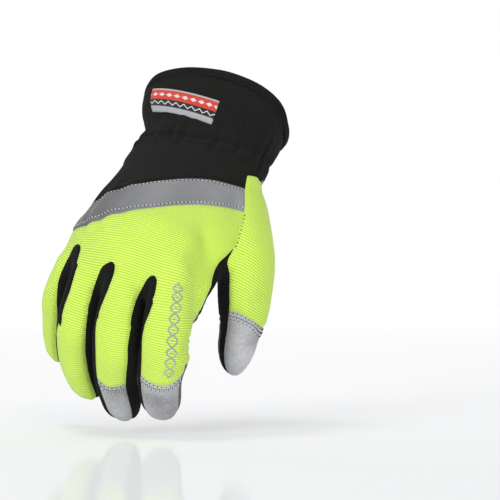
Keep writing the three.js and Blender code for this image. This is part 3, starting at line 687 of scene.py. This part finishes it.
# The cloth's grain
def evenly_laid(verts, tris, direction, rounds=220):
    """A coordinate over a piece that grows along a direction by its length a millimetre, as nearly as can
    be: the least squares over the edges, by conjugate gradients."""
    e = edges_of(tris)
    want = dot(verts[e[:, 1]] - verts[e[:, 0]], (direction[e[:, 0]] + direction[e[:, 1]]) / 2)
    n = len(verts)
    degree = np.maximum(np.bincount(e.ravel(), minlength=n), 1)
    u = verts @ unit(direction.mean(0))
    r = np.bincount(e[:, 1], want, n) - np.bincount(e[:, 0], want, n)

    def spread(u):
        return degree * u - np.bincount(e[:, 0], u[e[:, 1]], n) - np.bincount(e[:, 1], u[e[:, 0]], n)

    r = r - spread(u)
    z = r / degree
    p, rz = z.copy(), dot(r, z)
    for _ in range(rounds):
        q = spread(p)
        step = rz / dot(p, q)
        u += step * p
        r -= step * q
        z = r / degree
        new = dot(r, z)
        p, rz = z + p * (new / rz), new
    return u


def lengthwise():
    """The way along the hand, the fingers and the thumb, on the skin, longer where the knit is stretched."""
    share = np.exp(-np.clip(off_body, 0, 40) / 3)
    total = body_frame(np.clip(along, BODY_FROM, BODY_TO))["forward"] * share[:, None]
    stretch, mass = 1.1 * share, share
    for name in NAMES[:5]:
        at, _, off = where[name]
        share = np.exp(-np.clip(off, 0, 40) / 3) * smoothstep(at, 0.7, 1.3)
        f = limb_frame(name, at)
        way = f["forward"] if name != "thumb" else unit(f["forward"] - 0.45 * f["across"])
        total = total + way * share[:, None]
        stretch, mass = stretch + share, mass + share
    way = unit(total + 1e-9)
    flat = way - normal * dot(way, normal)[:, None]
    return flat / np.maximum(np.linalg.norm(flat, axis=1, keepdims=True), 0.5) * (stretch / mass)[:, None]


# Cutting and making the pieces
CUT_ORDER = ["rim", "thumb_tip", "thumb_back", "cuff", "reflective_band", "thumb_pad", "index_pad",
             "strip_index_middle", "strip_middle_ring", "strip_ring_little", "index_tip", "middle_tip",
             "back_panel", "web_gusset", "thumb_front"]
# The columns of a point's data
PLACE, NORMAL, GRAIN = slice(0, 3), slice(3, 6), slice(6, 9)
ANGLE, ALONG, FIRST_FIELD = 9, 10, 11
data = np.column_stack([verts, normal, lengthwise(), angle, along] + [fields[n] for n in CUT_ORDER])
shells = {}
rest = tris
for number, name in enumerate(CUT_ORDER):
    data, shells[name], rest = split(data, rest, FIRST_FIELD + number)
shells["palm_panel"] = rest
del shells["rim"]


def tidy(data, tris, least=60):
    """A piece's own points and triangles, without the islands that the cuts leave behind."""
    used, tris = np.unique(tris, return_inverse=True)
    tris = tris.reshape(-1, 3)
    label = np.arange(len(used))
    e = edges_of(tris)
    while True:
        low = np.minimum(label[e[:, 0]], label[e[:, 1]])
        before = label.copy()
        np.minimum.at(label, e[:, 0], low)
        np.minimum.at(label, e[:, 1], low)
        label = label[label]
        if (label == before).all():
            break
    size = np.bincount(label, minlength=len(used))
    tris = tris[size[label[tris[:, 0]]] >= least]
    again, tris = np.unique(tris, return_inverse=True)
    return data[used[again]], tris.reshape(-1, 3)


def border_of(tris):
    """The edges that only one triangle has."""
    pairs = sides_of(tris)
    _, index, count = np.unique(np.sort(pairs, axis=1), axis=0, return_inverse=True, return_counts=True)
    return pairs[count[index.ravel()] == 1]


def new_object(name, points, faces, look, uv, nodes=()):
    """A piece of the glove, from points in millimetres."""
    thing = mesh_object(name, (np.asarray(points) * MM).tolist(), [tuple(map(int, f)) for f in faces], look)
    mesh = thing.data
    if uv is not None:
        layer = mesh.uv_layers.new(name="grain")
        loops = np.empty(len(mesh.loops), np.int32)
        mesh.loops.foreach_get("vertex_index", loops)
        layer.data.foreach_set("uv", np.asarray(uv, np.float32)[loops].ravel())
    mesh.update()
    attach(thing, "root")
    if nodes:
        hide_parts(*nodes)


# Materials
class Graph:
    """A material's nodes, with short ways to add them and join them."""

    def __init__(self, name, colour, roughness=0.9, sheen=0.0, metallic=0.0, specular=0.3):
        self.made = bpy.data.materials.new(name)
        self.made.use_nodes = True
        self.nodes, self.links = self.made.node_tree.nodes, self.made.node_tree.links
        self.shader = self.nodes["Principled BSDF"]
        self.feed(self.shader, {"Base Color": (*colour, 1), "Roughness": roughness, "Metallic": metallic,
                                "Specular IOR Level": specular})
        if sheen:
            self.feed(self.shader, {"Sheen Weight": sheen, "Sheen Roughness": 0.5})

    def feed(self, node, inputs):
        """Gives a node its inputs, each a value or another node's output."""
        for socket, value in inputs.items():
            if isinstance(value, bpy.types.NodeSocket):
                self.links.new(value, node.inputs[socket])
            else:
                node.inputs[socket].default_value = value

    def node(self, kind, inputs, **settings):
        made = self.nodes.new("ShaderNode" + kind)
        for key, value in settings.items():
            setattr(made, key, value)
        self.feed(made, inputs)
        return made

    def maths(self, kind, *values, clamp=False):
        return self.node("Math", dict(enumerate(values)), operation=kind, use_clamp=clamp).outputs[0]

    def mapped(self, value, low, high, to_low, to_high):
        return self.node("MapRange", dict(enumerate((value, low, high, to_low, to_high)))).outputs[0]

    def noise(self, place, scale, detail, roughness=0.5):
        inputs = {"Vector": place, "Scale": scale, "Detail": detail, "Roughness": roughness}
        return self.node("TexNoise", inputs).outputs[0]

    def mixed(self, factor, first, second, blend="MIX"):
        inputs = {"Factor": factor, 6: first, 7: second}
        return self.node("Mix", inputs, data_type="RGBA", blend_type=blend).outputs[2]

    def ramp(self, value, stops, kind="LINEAR"):
        """The colour at a value between stops, each a value and its colour."""
        node = self.node("ValToRGB", {0: value})
        node.color_ramp.interpolation = kind
        elements = node.color_ramp.elements
        while len(elements) < len(stops):
            elements.new(0.5)
        for element, (at, colour) in zip(elements, stops):
            element.position = at
            element.color = (*colour, 1)
        return node.outputs[0]

    def place(self):
        """The place in the object, in metres."""
        return self.node("TexCoord", {}).outputs["Object"]

    def split(self, vector):
        return self.node("SeparateXYZ", {0: vector}).outputs

    def grain(self):
        """The place in the piece's own map, across and along its cloth."""
        return self.split(self.node("UVMap", {}, uv_map="grain").outputs[0])[:2]

    def covered(self, colour, height, strength, distance):
        """The finished material, with its colour and its relief."""
        bump = self.node("Bump", {"Height": height, "Strength": strength, "Distance": distance})
        self.feed(self.shader, {"Base Color": colour, "Normal": bump.outputs[0]})
        return self.made


def linear(r, g, b):
    """A colour as the renderer counts it, from the levels on a screen."""
    return tuple((c / 255 / 12.92 if c <= 10 else ((c / 255 + 0.055) / 1.055) ** 2.4) for c in (r, g, b))


def ribs_material(name, colour, dark, pitch, dots, sheen=0.2, bump=0.5, spots=0.5, mottle=0.12,
                  specular=0.3, valley_shade=0.38):
    """A knit with ribs across and small holes between them, with painted shade in its valleys and holes
    and a random mottle in tone; pitches in millimetres.
    """
    colour, dark = linear(*colour), linear(*dark)
    g = Graph(name, colour, sheen=sheen, specular=specular)
    x, y = g.grain()
    soft = g.noise(g.place(), 60, 3)
    y = g.maths("ADD", y, g.maths("MULTIPLY", soft, 0.9))
    rib = g.maths("SINE", g.maths("MULTIPLY", y, 2 * math.pi / pitch))
    row = g.maths("FLOOR", g.maths("DIVIDE", y, pitch))
    stagger = g.maths("MULTIPLY", g.maths("MODULO", row, 2.0), dots / 2)
    spot = g.maths("SINE", g.maths("MULTIPLY", g.maths("ADD", x, stagger), 2 * math.pi / dots))
    rib, spot = (g.maths("MULTIPLY_ADD", wave, 0.5, 0.5) for wave in (rib, spot))
    valley = g.maths("POWER", g.maths("SUBTRACT", 1.0, rib), 2.0)
    hole = g.maths("MULTIPLY", valley, g.maths("POWER", spot, 2.0))
    height = g.maths("SUBTRACT", rib, g.maths("MULTIPLY", hole, 0.6))
    # Painted shade: the dark colour in the valleys between the ribs and in the holes, plus a random mottle
    # in tone
    shade = g.maths("ADD", g.maths("MULTIPLY", valley, valley_shade), g.maths("MULTIPLY", hole, spots))
    shade = g.maths("ADD", shade, g.maths("MULTIPLY", soft, mottle), clamp=True)
    return g.covered(g.mixed(shade, (*colour, 1), (*dark, 1)), height, bump, 0.0004)


def fibre_material(name, colour, light, scale, roughness=0.9, sheen=0.5, bump=0.4, distance=0.0003,
                   metallic=0.0, specular=0.3, stretch=(1, 1, 1), broad_tone_and_sheen=0.4, painted_shading=None):
    """Suede, felted cloth or a coated cloth: a fine noise in colour and height over a broad one. The last
    argument
    paints shade and light across x: the two x between which the brightness changes, and its brightness at
    each."""
    colour, light = linear(*colour), linear(*light)
    g = Graph(name, colour, roughness, sheen, metallic, specular)
    place = g.place()
    fine = g.noise(g.node("Mapping", {0: place, "Scale": stretch}).outputs[0], scale, 4, 0.65)
    broad = g.noise(place, 45, 2)
    # The broad noise: random tone, and on the reflective cloth also painted sheen and shade
    both = g.maths("ADD", g.maths("MULTIPLY", fine, 1 - broad_tone_and_sheen), g.maths("MULTIPLY", broad, broad_tone_and_sheen))
    colour = g.ramp(both, ((0.35, colour), (0.65, light)))
    # Painted shade and light: the colour scaled by the place's x, darker on one side and lighter on the
    # other
    if painted_shading:
        colour = g.mixed(1.0, colour, g.mapped(g.split(place)[0], *painted_shading), "MULTIPLY")
    return g.covered(colour, fine, bump, distance)


def patch_material():
    """The patch's bands, with a row of small diamonds in the red one and a zigzag in the black one."""
    g = Graph("patch_weave", linear(176, 50, 40), 0.7, 0.2)
    x, y = g.grain()
    stops = ((0.0, (168, 168, 172)), (0.1, (198, 58, 44)), (0.5, (30, 30, 30)), (0.78, (160, 160, 164)))
    bands = g.ramp(y, [(at, linear(*colour)) for at, colour in stops], "CONSTANT")
    wave = g.maths("PINGPONG", g.maths("MULTIPLY", x, 9.0), 0.5)
    off = g.maths("MULTIPLY", g.maths("ABSOLUTE", g.maths("SUBTRACT", y, 0.3)), 5.0)
    diamond = g.maths("LESS_THAN", g.maths("ADD", off, wave), 0.42)
    line = g.maths("MULTIPLY_ADD", wave, 0.26, 0.575)
    zigzag = g.maths("LESS_THAN", g.maths("ABSOLUTE", g.maths("SUBTRACT", y, line)), 0.022)
    colour = g.mixed(g.maths("MAXIMUM", diamond, zigzag), bands, (*linear(205, 205, 208), 1))
    return g.covered(colour, g.maths("SINE", g.maths("MULTIPLY", x, 420.0)), 0.3, 0.0002)


# The knits' dark colours are the painted shade in their valleys and holes
YELLOW = ribs_material("yellow_knit", (210, 242, 96), (118, 152, 44), 1.32, 1.25, spots=0.45)
BLACK = ribs_material("black_knit", (25, 25, 23), (4, 4, 4), 1.1, 1.0, sheen=0.02, specular=0.12,
                      valley_shade=0.7)
CUFF = ribs_material("cuff_knit", (37, 37, 35), (2, 2, 2), 1.25, 1.1, sheen=0.02, bump=0.8, mottle=0.2,
                     specular=0.12, valley_shade=0.95)
# The band's tape: painted shade towards the little finger side, painted light towards the thumb side
TAPE = fibre_material("reflective_tape", (136, 137, 140), (154, 155, 158), 900, 0.5, 0.0, 0.15, 0.0002,
                      0.35, 0.5, painted_shading=(-0.07, 0.03, 0.4, 1.15))
# The reflective cloth: its strong broad patches of light and dark are painted sheen and shade for its
# crumpled shine
CLOTH = fibre_material("reflective_cloth", (138, 138, 142), (200, 200, 204), 1100, 0.55, 0.1, 0.5, 0.0003,
                       0.25, 0.5, stretch=(1, 1, 0.6), broad_tone_and_sheen=0.55)
SUEDE = fibre_material("palm_suede", (46, 42, 39), (70, 65, 60), 1500, 0.95, 0.35, 0.6)
PAD = fibre_material("smooth_pad", (62, 60, 60), (74, 72, 72), 500, 0.5, 0.0, 0.2, 0.0002)
BIND = fibre_material("binding_tape", (15, 15, 15), (25, 25, 24), 700, 0.8, 0.02, 0.3, specular=0.12)
WEBBING = fibre_material("tab_webbing", (225, 226, 228), (240, 241, 243), 900, 0.7, 0.1, 0.3)
THREAD = fibre_material("pale_thread", (176, 176, 178), (206, 206, 206), 2500, 0.6, 0.2, 0.3)
GREY_THREAD = fibre_material("grey_thread", (96, 94, 90), (120, 118, 114), 2500, 0.7, 0.2, 0.3)
# Dark thread for the hem stitches, and painted shade in the needle holes between other stitches
DARK_THREAD_AND_HOLE_SHADE = fibre_material("dark_thread_and_hole_shade", (22, 24, 16), (34, 38, 22), 2500, 0.8, 0.0, 0.3, specular=0.1)
SILVER_THREAD = fibre_material("silver_thread", (140, 140, 146), (178, 178, 184), 2500, 0.5, 0.1, 0.3)
PANELS = (
    (YELLOW, "yellow_knit", "knit_", ["thumb_back", "back_panel"]),
    (BLACK, "black_knit", "knit_",
     ["strip_index_middle", "strip_middle_ring", "strip_ring_little", "web_gusset"]),
    (CUFF, "cuff_knit", "knit_", ["cuff"]),
    (TAPE, "reflective_tape", "sewn_", ["reflective_band"]),
    (CLOTH, "reflective_cloth", "sewn_", ["thumb_tip", "index_tip", "middle_tip"]),
    (PAD, "smooth_pad", "sewn_", ["thumb_pad", "index_pad"]),
    (SUEDE, "palm_suede", "sewn_", ["thumb_front", "palm_panel"]),
)
LOOKS = {name: (look, slot, kind) for look, slot, kind, names in PANELS for name in names}

# The sewn pieces
DIP, DIP_WIDTH = 0.55, 1.1
SWELL, SWELL_WIDTH, SWELL_FROM_SEAM = 0.12, 1.2, 2.4
UNDER_HEM = 6
CUFF_RADIUS = 40


def from_seam(points, rim):
    """How far each point of a piece is from the piece's border."""
    tree = KDTree(len(rim))
    for i, v in enumerate(np.unique(rim)):
        tree.insert(points[v], i)
    tree.balance()
    return np.array([tree.find(p)[2] for p in points])


def sewn_piece(name, piece):
    """A panel with an outside that dips at its seams, an inside and walls between; returns the outside."""
    part, faces = tidy(data, piece)
    points, normal_at, flat = part[:, PLACE], unit(part[:, NORMAL]), part[:, GRAIN]
    rim = border_of(faces)
    gap = from_seam(points, rim)
    under_hem = (part[:, ALONG] < -rim_at(part[:, ANGLE]) + UNDER_HEM) & (part[:, ALONG] < -20)
    dip = DIP * hill(gap, 0, DIP_WIDTH) - SWELL * hill(gap, SWELL_FROM_SEAM, SWELL_WIDTH)
    outer = points - normal_at * np.where(under_hem, 0, dip)[:, None]
    inner = points - normal_at * WALL
    count = len(points)
    walls = []
    for a, b in rim:
        walls += [(b, a, a + count), (b, a + count, b + count)]
    every = np.vstack([faces, faces[:, ::-1] + count, np.array(walls)])
    if name == "cuff":
        across = np.radians(part[:, ANGLE]) * CUFF_RADIUS
    else:
        across = evenly_laid(points, faces, np.cross(normal_at, flat))
    uv = np.column_stack([across, evenly_laid(points, faces, flat)])
    look, slot, kind = LOOKS[name]
    new_object(kind + name, np.vstack([outer, inner]), every, look, np.vstack([uv, uv]), [name])
    return outer, faces


skin_points, skin_faces, skin_count = [], [], 0
for name, piece in shells.items():
    outer, faces = sewn_piece(name, piece)
    skin_points.append(outer)
    skin_faces.append(faces + skin_count)
    skin_count += len(outer)
skin = BVHTree.FromPolygons(np.vstack(skin_points).tolist(), np.vstack(skin_faces).tolist())


# The hem round the rim: how far from the rim to the wrist, and how high
HEM = [(5.4, 0.0), (5.3, 0.35), (4.8, 0.7), (4.2, 0.65), (3.7, 0.2), (3.2, 0.7), (2.0, 1.0), (0.8, 0.8),
       (0.1, 0.2), (-0.15, -0.9), (0.1, -2.0), (0.9, -2.6), (2.4, -2.7), (3.9, -2.5), (4.5, -2.1),
       (4.5, -1.2)]


def hem(turns=180):
    """A folded band swept round the rim, a little wavy."""
    angle = np.linspace(0, 360, turns, endpoint=False)
    wave = 0.25 * np.sin(np.radians(angle) * 7 + 1) + 0.15 * np.sin(np.radians(angle) * 13)
    rim = -rim_at(angle)
    rows = [section_point(body_frame(rim + way), angle, height + wave * 0.5) for way, height in HEM]
    faces = [(a, d, c, b) for a, b, c, d in quads(len(HEM), turns, closed=True)]
    arc = np.tile(np.radians(angle) * CUFF_RADIUS, len(HEM))
    uv = np.column_stack([arc, np.repeat([way for way, _ in HEM], turns)])
    new_object("hem_binding", np.vstack(rows), faces, BIND, uv, ["cuff_binding"])


hem()


# The patch and the pull tab
def plate(name, along_at, angle, length, spread, slant, low, high, look, nodes, steps):
    """A piece of webbing sewn flat on the cuff, with soft edges."""
    w, h = steps
    s, t = (grid.ravel() for grid in np.meshgrid(np.linspace(-0.5, 0.5, w), np.linspace(-0.5, 0.5, h)))
    turn = angle + s * spread
    f = body_frame(along_at + t * length + slant * (turn - angle))
    soft = np.clip((0.5 - np.maximum(np.abs(s), np.abs(t))) * 30, 0, 1) ** 0.5
    top = section_point(f, turn, low + (high - low) * soft)
    bottom = section_point(f, turn, low)
    count = w * h
    faces = []
    for j in range(h - 1):
        for i in range(w - 1):
            a = j * w + i
            square = (a, a + 1, a + w + 1, a + w)
            faces += [square, tuple(v + count for v in (a, a + w, a + w + 1, a + 1))]
    loop = [*range(w), *[w - 1 + w * j for j in range(1, h)],
            *[(h - 1) * w + i for i in range(w - 2, -1, -1)], *[w * j for j in range(h - 2, 0, -1)]]
    for a, b in zip(loop, loop[1:] + loop[:1]):
        faces.append((b, a, a + count, b + count))
    uv = np.column_stack([s + 0.5, t + 0.5])
    new_object(name, np.vstack([top, bottom]), faces, look, np.vstack([uv, uv]), nodes)


plate("patch_woven", -28.5, -18, 14.5, 60, 0.11, 0.15, 0.95, patch_material(),
      ["woven_patch"], (90, 30))
plate("tab_pull", -15, 147, 26, 24, 0, 0.15, 1.1, WEBBING, ["pull_tab"], (30, 40))


# Stitching
def onto_skin(outer_points, inner_points):
    """Where lines from outside to inside meet the skin: places and normals, and which ones meet it."""
    spots, ways, hit = [], [], []
    for a, b in zip(outer_points, inner_points):
        way = Vector(b - a)
        found = skin.ray_cast(Vector(a), way.normalized(), way.length)
        hit.append(found[0] is not None)
        spots.append(np.array(found[0]) if found[0] else np.array(a))
        ways.append(np.array(found[1]) if found[0] else np.array([0, 0, 1.0]))
    return np.array(spots), np.array(ways), np.array(hit)


def body_line(angles, alongs):
    f = body_frame(alongs)
    return onto_skin(section_point(f, angles, 6), section_point(f, angles, -6))


def limb_line(name, angles, ats):
    f = limb_frame(name, ats)
    return onto_skin(section_point(f, angles, 4), section_point(f, angles, -5))


def evenly(line, pitch):
    """A line's points and normals at an even pitch; a line without a list of hits stays as it is."""
    if len(line) == 2:
        return line
    points, normals = line[0][line[2]], line[1][line[2]]
    step = np.linalg.norm(np.diff(points, axis=0), axis=1)
    run = np.concatenate([[0], np.cumsum(step)])
    at = np.linspace(0, run[-1], max(2, int(run[-1] / pitch) + 1))
    p, n = (np.stack([np.interp(at, run, rows[:, k]) for k in range(3)], 1) for rows in (points, normals))
    return p, unit(n)


# A stitch: places along its half length and the share of its full thickness there
STITCH = ((-1, 0.35), (-0.6, 0.9), (0.6, 0.9), (1, 0.35))
STITCH_SIDES = 6


def one_stitch(a, b, up, pitch, share, width, height):
    """The rings of a rounded stitch between two points, or nothing across a gap in the line."""
    middle, way = (a + b) / 2, (b - a)
    length = np.linalg.norm(way)
    if length < 1e-6 or length > pitch * 3:
        return []
    way = way / length
    side = unit(np.cross(way, up))
    half = length * share / 2
    ring = []
    for reach, size in STITCH:
        c = middle + way * half * reach + up * height * 0.25
        for turn in range(STITCH_SIDES):
            w = 2 * math.pi * turn / STITCH_SIDES
            ring.append(c + side * math.cos(w) * width / 2 * size + up * math.sin(w) * height / 2 * size)
    return ring


def stitches(name, lines, pitch, share, width, height, look):
    """Rounded stitches along lines, each a share of its pitch long, as one piece."""
    last = STITCH_SIDES * (len(STITCH) - 1)
    one = quads(len(STITCH), STITCH_SIDES)
    one += [tuple(range(STITCH_SIDES - 1, -1, -1)), tuple(range(last, last + STITCH_SIDES))]
    points, faces = [], []
    for line in lines:
        p, n = evenly(line, pitch)
        for i in range(len(p) - 1):
            ring = one_stitch(p[i], p[i + 1], unit(n[i] + n[i + 1]), pitch, share, width, height)
            if ring:
                faces += [tuple(v + len(points) for v in face) for face in one]
                points += ring
    new_object(name, points, faces, look, None)


def holes(lines, pitch, size):
    """Short dark lines at the needle holes between the stitches of lines: painted shade in the holes."""
    spots = []
    for line in lines:
        p, n = evenly(line, pitch)
        for a, b, up in zip(p[:-1], p[1:], n[:-1]):
            if np.linalg.norm(b - a) < pitch * 3:
                way = unit(b - a)
                spots.append((np.stack([a - way * size / 2, a + way * size / 2]), np.stack([up, up])))
    return spots


def seam_of(one, other, offset, low, high):
    """The seam that two shells share, moved sideways, from one height to another."""
    rows = data[np.intersect1d(shells[one], shells[other])]
    rows = rows[(rows[:, 2] > low) & (rows[:, 2] < high)]
    rows = rows[np.argsort(rows[:, 2])]
    n = unit(rows[:, NORMAL])
    p = rows[:, PLACE] + np.asarray(offset)
    return onto_skin(p + n * 4, p - n * 4)


def zigzag(name, low, high, offset, pitch=2.3, depth=1.5):
    """A row of zigzag under a cap's edge."""
    count = int((high - low) * math.pi / 180 * LIMBS[name][2] / pitch * 2)
    turn = np.linspace(low, high, count)
    swing = (np.arange(count) % 2) * depth
    p, n, hit = limb_line(name, turn, column(CAPS[name], turn) + (offset + swing) / STEP["tip"])
    return p[hit], n[hit]


PITCH = 2.1
band_lines = []
for side, inset, last in ((1, 1.8, 78), (2, -2.0, 90)):
    band_angles = np.linspace(-108, last, 170)
    band_lines.append(body_line(band_angles, column(BAND, band_angles, side) + inset))
stitches("stitches_band", band_lines, PITCH, 0.62, 0.75, 0.55, THREAD)
stitches("holes_band", holes(band_lines, PITCH, 0.75), 1, 1, 0.7, 0.5, DARK_THREAD_AND_HOLE_SHADE)
cap_lines = [zigzag(n, a, b, o) for n, a, b in (("index", -44, 76), ("middle", -24, 56), ("thumb", -74, 100))
             for o in (0.8, 2.5)]
stitches("stitches_caps", cap_lines, 2.6, 0.78, 0.5, 0.5, THREAD)
stitches("holes_caps", holes(cap_lines, 2.6, 0.7), 1, 1, 0.7, 0.5, DARK_THREAD_AND_HOLE_SHADE)
thumb_seam = [seam_of("thumb_back", "back_panel", (0.9, 0, 0), -60, 60)]
stitches("holes_thumb", holes(thumb_seam, 2.4, 0.8), 1, 1, 0.75, 0.5, DARK_THREAD_AND_HOLE_SHADE)

# A braid of silver thread down the index finger's back, with plain bars between its crossings: at, angle
BRAID = np.array([(1.37, 28.3), (1.53, 27.4), (1.72, 23.9), (1.91, 23.4), (2.17, 28.5), (2.51, 32.7)])
CROSSINGS = 9
BRAID_HALF, BAR_HALF = 12, 4.5
run = np.linspace(0, 1, 240)
braid_at = np.interp(run, np.linspace(0, 1, len(BRAID)), BRAID[:, 0])
braid_turn = curve(BRAID[:, 0], BRAID[:, 1], braid_at)
swing = np.sin(run * math.pi * CROSSINGS)
fade = np.clip(np.minimum(run, 1 - run) * 18, 0, 1)
braid = [limb_line("index", braid_turn + way * swing * BRAID_HALF * fade, braid_at) for way in (1, -1)]
bars = []
for k in range(CROSSINGS):
    spot = (k + 0.5) / CROSSINGS
    turn = np.interp(spot, run, braid_turn) + np.linspace(-BAR_HALF, BAR_HALF, 5)
    bars.append(limb_line("index", turn, np.full(5, np.interp(spot, run, braid_at))))
stitches("stitches_braid", braid, 1.3, 0.98, 1.0, 0.6, SILVER_THREAD)
stitches("stitches_bars", bars, 1.0, 0.98, 0.8, 0.5, SILVER_THREAD)


# The palm's quilting: width (-1 at the little finger side to 1 at the thumb side), along
def palm_line(points, steps=60):
    table = np.array(points, float)
    number = np.arange(len(table))
    width, way = (curve(number, table[:, k], np.linspace(0, len(table) - 1, steps)) for k in (0, 1))
    return body_line(180 - np.degrees(np.arcsin(np.clip(width, -0.99, 0.99))), way)


def roll_edge(number, low=-0.72, high=0.86):
    """The stitched line between two of the padded rolls."""
    width = np.linspace(low, high, 7)
    return palm_line([(w, ROLLS_FROM + ROLL_LENGTH * number - ROLLS_SLANT * w) for w in width])


quilt = [roll_edge(1), roll_edge(2), roll_edge(3, -0.66, 0.86)]
quilt.append(palm_line([(-0.66, 57.5), (-0.72, 50), (-0.73, 35), (-0.7, 20), (-0.6, 11), (-0.4, 6.5), (0, 5),
                        (0.3, 4.5), (0.6, 7), (0.78, 14), (0.86, 26), (0.88, 40), (0.86, 47)], 160))
quilt.append(palm_line([(-0.86, 74), (-0.6, 72), (-0.2, 70), (0.2, 69.5), (0.6, 70), (0.85, 71)]))
quilt.append(palm_line([(-0.88, 71), (-0.7, 69), (-0.45, 66.5)], 20))
quilt.append(palm_line([(0.1, 63), (0.4, 64), (0.75, 65)], 20))
for name, half in (("index", 34), ("middle", 30), ("ring", 30), ("little", 32)):
    t = np.linspace(-1, 1, 40)
    quilt.append(limb_line(name, 180 + t * half, 1.02 + 0.3 * np.abs(t) ** 3))
stitches("stitches_palm", quilt, 2.3, 0.6, 0.5, 0.35, GREY_THREAD)
pad_lines = [limb_line(name, 180 + np.linspace(-50, 50, 50), np.full(50, start + row / STEP["tip"]))
             for name, start in PADS.items() for row in (0.9, 2.6)]
stitches("stitches_pads", pad_lines, 2.2, 0.62, 0.55, 0.4, GREY_THREAD)
hem_angles = np.linspace(-180, 180, 260)
hem_line = [body_line(hem_angles, -rim_at(hem_angles) + 6.6)]
stitches("stitches_hem", hem_line, 2.4, 0.62, 0.45, 0.3, DARK_THREAD_AND_HOLE_SHADE)

# The room: a glossy floor and a white wall behind it, in metres
FLOOR = -0.1436
# The floor is painted from the near colour to the far one, lighter towards the wall: painted light
NEAR_FLOOR, FAR_FLOOR = (0.88, 0.89, 0.91), (0.97, 0.97, 0.97)
WHITE = (1, 1, 1, 1)


def staged_sheet(name, rows, look):
    points = [(x, y, z) for y, z in rows for x in (-3.0, 3.0)]
    faces = [(2 * i, 2 * i + 1, 2 * i + 3, 2 * i + 2) for i in range(len(rows) - 1)]
    thing = mesh_object(name, points, faces, look)


def floor_material():
    """A glossy white, painted lighter and glowing more towards the wall: painted light that makes up for the
    lamps' light falling off with distance.
    """
    g = Graph("floor_gloss", NEAR_FLOOR, 1.0, specular=0.0)
    depth = g.split(g.place())[1]
    painted_light_tint = g.mixed(g.mapped(depth, 0.0, 1.4, 0.0, 1.0), (*NEAR_FLOOR, 1), (*FAR_FLOOR, 1))
    # The glow is painted light, stronger towards the wall
    glow = g.maths("ADD", g.mapped(depth, -0.35, 0.2, 0.13, 0.28), g.mapped(depth, 0.05, 1.4, 0.0, 0.06))
    g.feed(g.shader, {"Base Color": painted_light_tint, "Emission Color": WHITE, "Emission Strength": glow})
    gloss = g.node("BsdfGlossy", {"Roughness": 0.09})
    both = g.node("MixShader", {0: 0.2, 1: g.shader.outputs[0], 2: gloss.outputs[0]})
    g.feed(g.nodes["Material Output"], {0: both.outputs[0]})
    return g.made


staged_sheet("floor", [(y, FLOOR) for y in np.linspace(-1.6, 2.0, 20)], floor_material())
wall = Graph("backdrop_white", (0, 0, 0), 1.0, specular=0.0)
wall.feed(wall.shader, {"Emission Color": WHITE, "Emission Strength": 1.0})
staged_sheet("backdrop", [(2.0, FLOOR), (2.02, FLOOR + 0.05), (2.05, 2.5)], wall.made)

world = bpy.data.worlds.new("studio")
bpy.context.scene.world = world
world.use_nodes = True
world.node_tree.nodes["Background"].inputs[0].default_value = WHITE
world.node_tree.nodes["Background"].inputs[1].default_value = 0.48


def soft_light(name, place, target, size, power):
    data = bpy.data.lights.new(name, "AREA")
    data.shape = "DISK"
    data.size = size
    data.energy = power
    thing = bpy.data.objects.new(name, data)
    thing.location = place
    thing.rotation_euler = (Vector(target) - Vector(place)).to_track_quat("-Z", "Y").to_euler()
    bpy.context.collection.objects.link(thing)


soft_light("key", (-1.1, -1.3, 0.3), (0, 0, -0.05), 0.9, 12)
soft_light("fill", (0.6, -1.5, -0.06), (0.02, 0, -0.08), 1.0, 18)
soft_light("top", (-0.35, -0.05, 1.3), (0, 0, -0.1), 0.35, 2.6)

eye = bpy.data.cameras.new("camera")
eye.sensor_width = 36
eye.lens = 36 / 0.28
camera = bpy.data.objects.new("camera", eye)
camera.location = (0.0308, -1.0, -0.04424)
camera.rotation_euler = (math.pi / 2, 0, 0)
bpy.context.collection.objects.link(camera)
bpy.context.scene.camera = camera
bpy.context.scene.view_settings.view_transform = "Standard"
